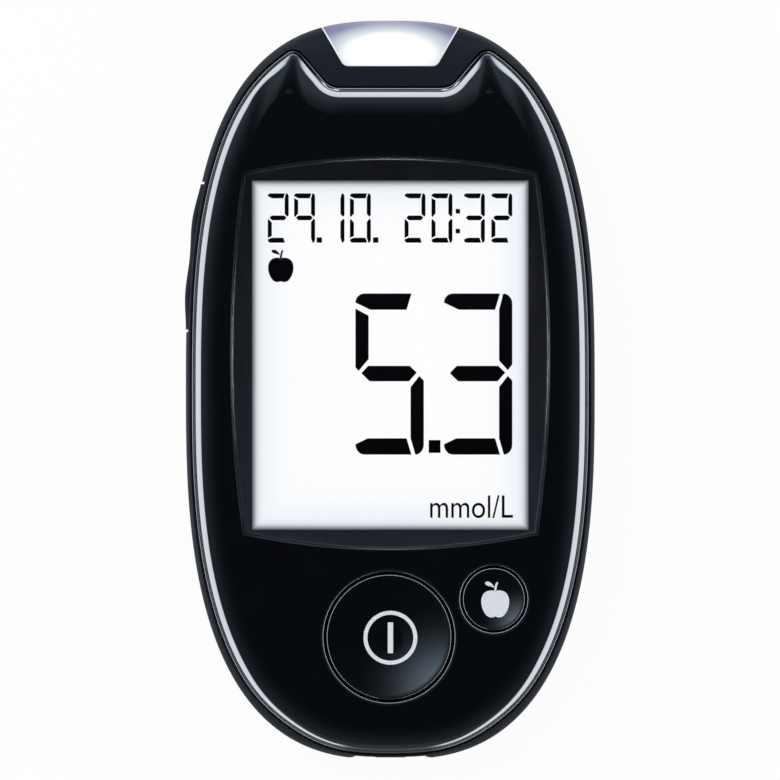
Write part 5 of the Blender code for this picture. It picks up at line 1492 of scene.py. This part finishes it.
toward = add_node(tree, "SeparateXYZ", inputs=(flat,))
low_edge, low_full, high_full, high_edge = [math.sin(math.radians(angle)) for angle in STRIP_ELEVATIONS]
rise = add_node(tree, "MapRange", "SMOOTHSTEP", (split.outputs[2], low_edge, low_full))
beyond = add_node(tree, "Math", "SUBTRACT", (NARROW_FROM, toward.outputs[1]))
beyond = add_node(tree, "Math", "MAXIMUM", (beyond, 0.0))
shifted = add_node(tree, "Math", "MULTIPLY_ADD", (beyond, NARROWING, split.outputs[2]))
drop = add_node(tree, "MapRange", "SMOOTHSTEP", (shifted, high_full, high_edge, 1.0, 0.0))
strip = add_node(tree, "Math", "MULTIPLY", (rise, drop))
near_end = add_node(tree, "MapRange", "SMOOTHSTEP", (toward.outputs[1], *NEAR_END))
strip = add_node(tree, "Math", "MULTIPLY", (strip, near_end))
lamp_way = (
    math.sin(LAMP_TILT) * math.cos(LAMP_TURN), math.sin(LAMP_TILT) * math.sin(LAMP_TURN), math.cos(LAMP_TILT),
)
facing = add_node(tree, "VectorMath", "DOT_PRODUCT", (way, lamp_way))
off = add_node(tree, "Math", "SUBTRACT", (facing.outputs["Value"], 1.0))
off = add_node(tree, "Math", "MULTIPLY", (off, 1 / (1 - math.cos(LAMP_SPREAD))))
lamp = add_node(tree, "Math", "EXPONENT", (off,))
lamp = add_node(tree, "Math", "MULTIPLY", (lamp, LAMP_LIGHT))
screen = add_node(tree, "MapRange", "SMOOTHSTEP", (split.outputs[2], *SCREEN_EDGE))
lamp = add_node(tree, "Math", "MULTIPLY", (lamp, screen))
overhead = add_node(tree, "MapRange", "SMOOTHSTEP", (split.outputs[2], *OVERHEAD_EDGE))
slit = add_node(tree, "MapRange", "SMOOTHSTEP", (split.outputs[1], *OVERHEAD_GLOW))
lamp = add_node(tree, "Mix", inputs={0: overhead, 2: lamp, 3: slit})
far_gain = add_node(tree, "MapRange", "SMOOTHSTEP", (toward.outputs[1], *FAR_GAIN))
high = add_node(tree, "MapRange", inputs=(split.outputs[2], *FAR_HEIGHTS))
far_gain = add_node(tree, "Mix", inputs={0: high, 2: 1.0, 3: far_gain})
sky = add_node(tree, "Math", "MULTIPLY", (tent, far_gain))
total = add_node(tree, "Math", "MULTIPLY_ADD", (strip, STRIP_LIGHT, sky))
total = add_node(tree, "Math", "ADD", (total, lamp))
bluer = add_node(tree, "MapRange", inputs=(split.outputs[2], 0.55, 0.65))
tint = add_node(tree, "Mix", {"data_type": "RGBA"}, {0: bluer, 6: hexed("#f0f5ff"), 7: hexed("#c2d8ee")})
mirrored = add_node(tree, "Background", inputs={"Color": tint.outputs[2], "Strength": total})
PLAIN_LIGHT = 0.75
plain = add_node(tree, "Background", inputs={"Color": hexed("#ffffff"), "Strength": PLAIN_LIGHT})
white = add_node(tree, "Background", inputs={"Color": hexed("#ffffff"), "Strength": 1.0})
path = add_node(tree, "LightPath")
sharp = add_node(tree, "Math", "MAXIMUM", (path.outputs["Is Glossy Ray"], path.outputs["Is Transmission Ray"]))
first = add_node(tree, "Math", "LESS_THAN", (path.outputs["Diffuse Depth"], 0.5))
sharp = add_node(tree, "Math", "MULTIPLY", (sharp, first))
inside = add_node(tree, "MixShader", inputs=(sharp, plain, mirrored))
both = add_node(tree, "MixShader", inputs=(path.outputs["Is Camera Ray"], inside, white))
add_node(tree, "OutputWorld", inputs={"Surface": both})
print("strip light from", STRIP_ELEVATIONS[0], "to", STRIP_ELEVATIONS[-1], "degrees")

# %% Soft lamp
pick()
KEY_WAY, KEY_SIZE, KEY_POWER = Vector((-0.42, 0.46, 0.71)), 0.5, 2.8
bpy.ops.object.light_add(type="AREA", location=KEY_WAY)
soft_lamp = bpy.context.object
soft_lamp.data.size, soft_lamp.data.energy = KEY_SIZE, KEY_POWER
soft_lamp.rotation_euler = KEY_WAY.to_track_quat("Z", "Y").to_euler()
soft_lamp.visible_glossy = soft_lamp.visible_camera = False
print("lamp:", soft_lamp.name)

# %% Camera
PHOTO_SIZE, MM_PER_PIXEL = 780, 0.14212
PHOTO_CENTRE = (390.3, 390.1)
FOCAL, SENSOR = 1000.0, 36.0
distance = PHOTO_SIZE * MM_PER_PIXEL * MM * FOCAL / SENSOR
pick()
bpy.ops.object.camera_add(location=(
    (PHOTO_SIZE / 2 - PHOTO_CENTRE[0]) * MM_PER_PIXEL * MM,
    (PHOTO_CENTRE[1] - PHOTO_SIZE / 2) * MM_PER_PIXEL * MM,
    REAR_HEIGHT + distance,
), rotation=(0, 0, 0))
camera = bpy.context.object
camera.data.lens, camera.data.sensor_width = FOCAL, SENSOR
camera.data.clip_end = 100.0
scene.camera = camera
scene.view_settings.view_transform = "Standard"
print("camera height in m:", round(camera.location.z, 3))
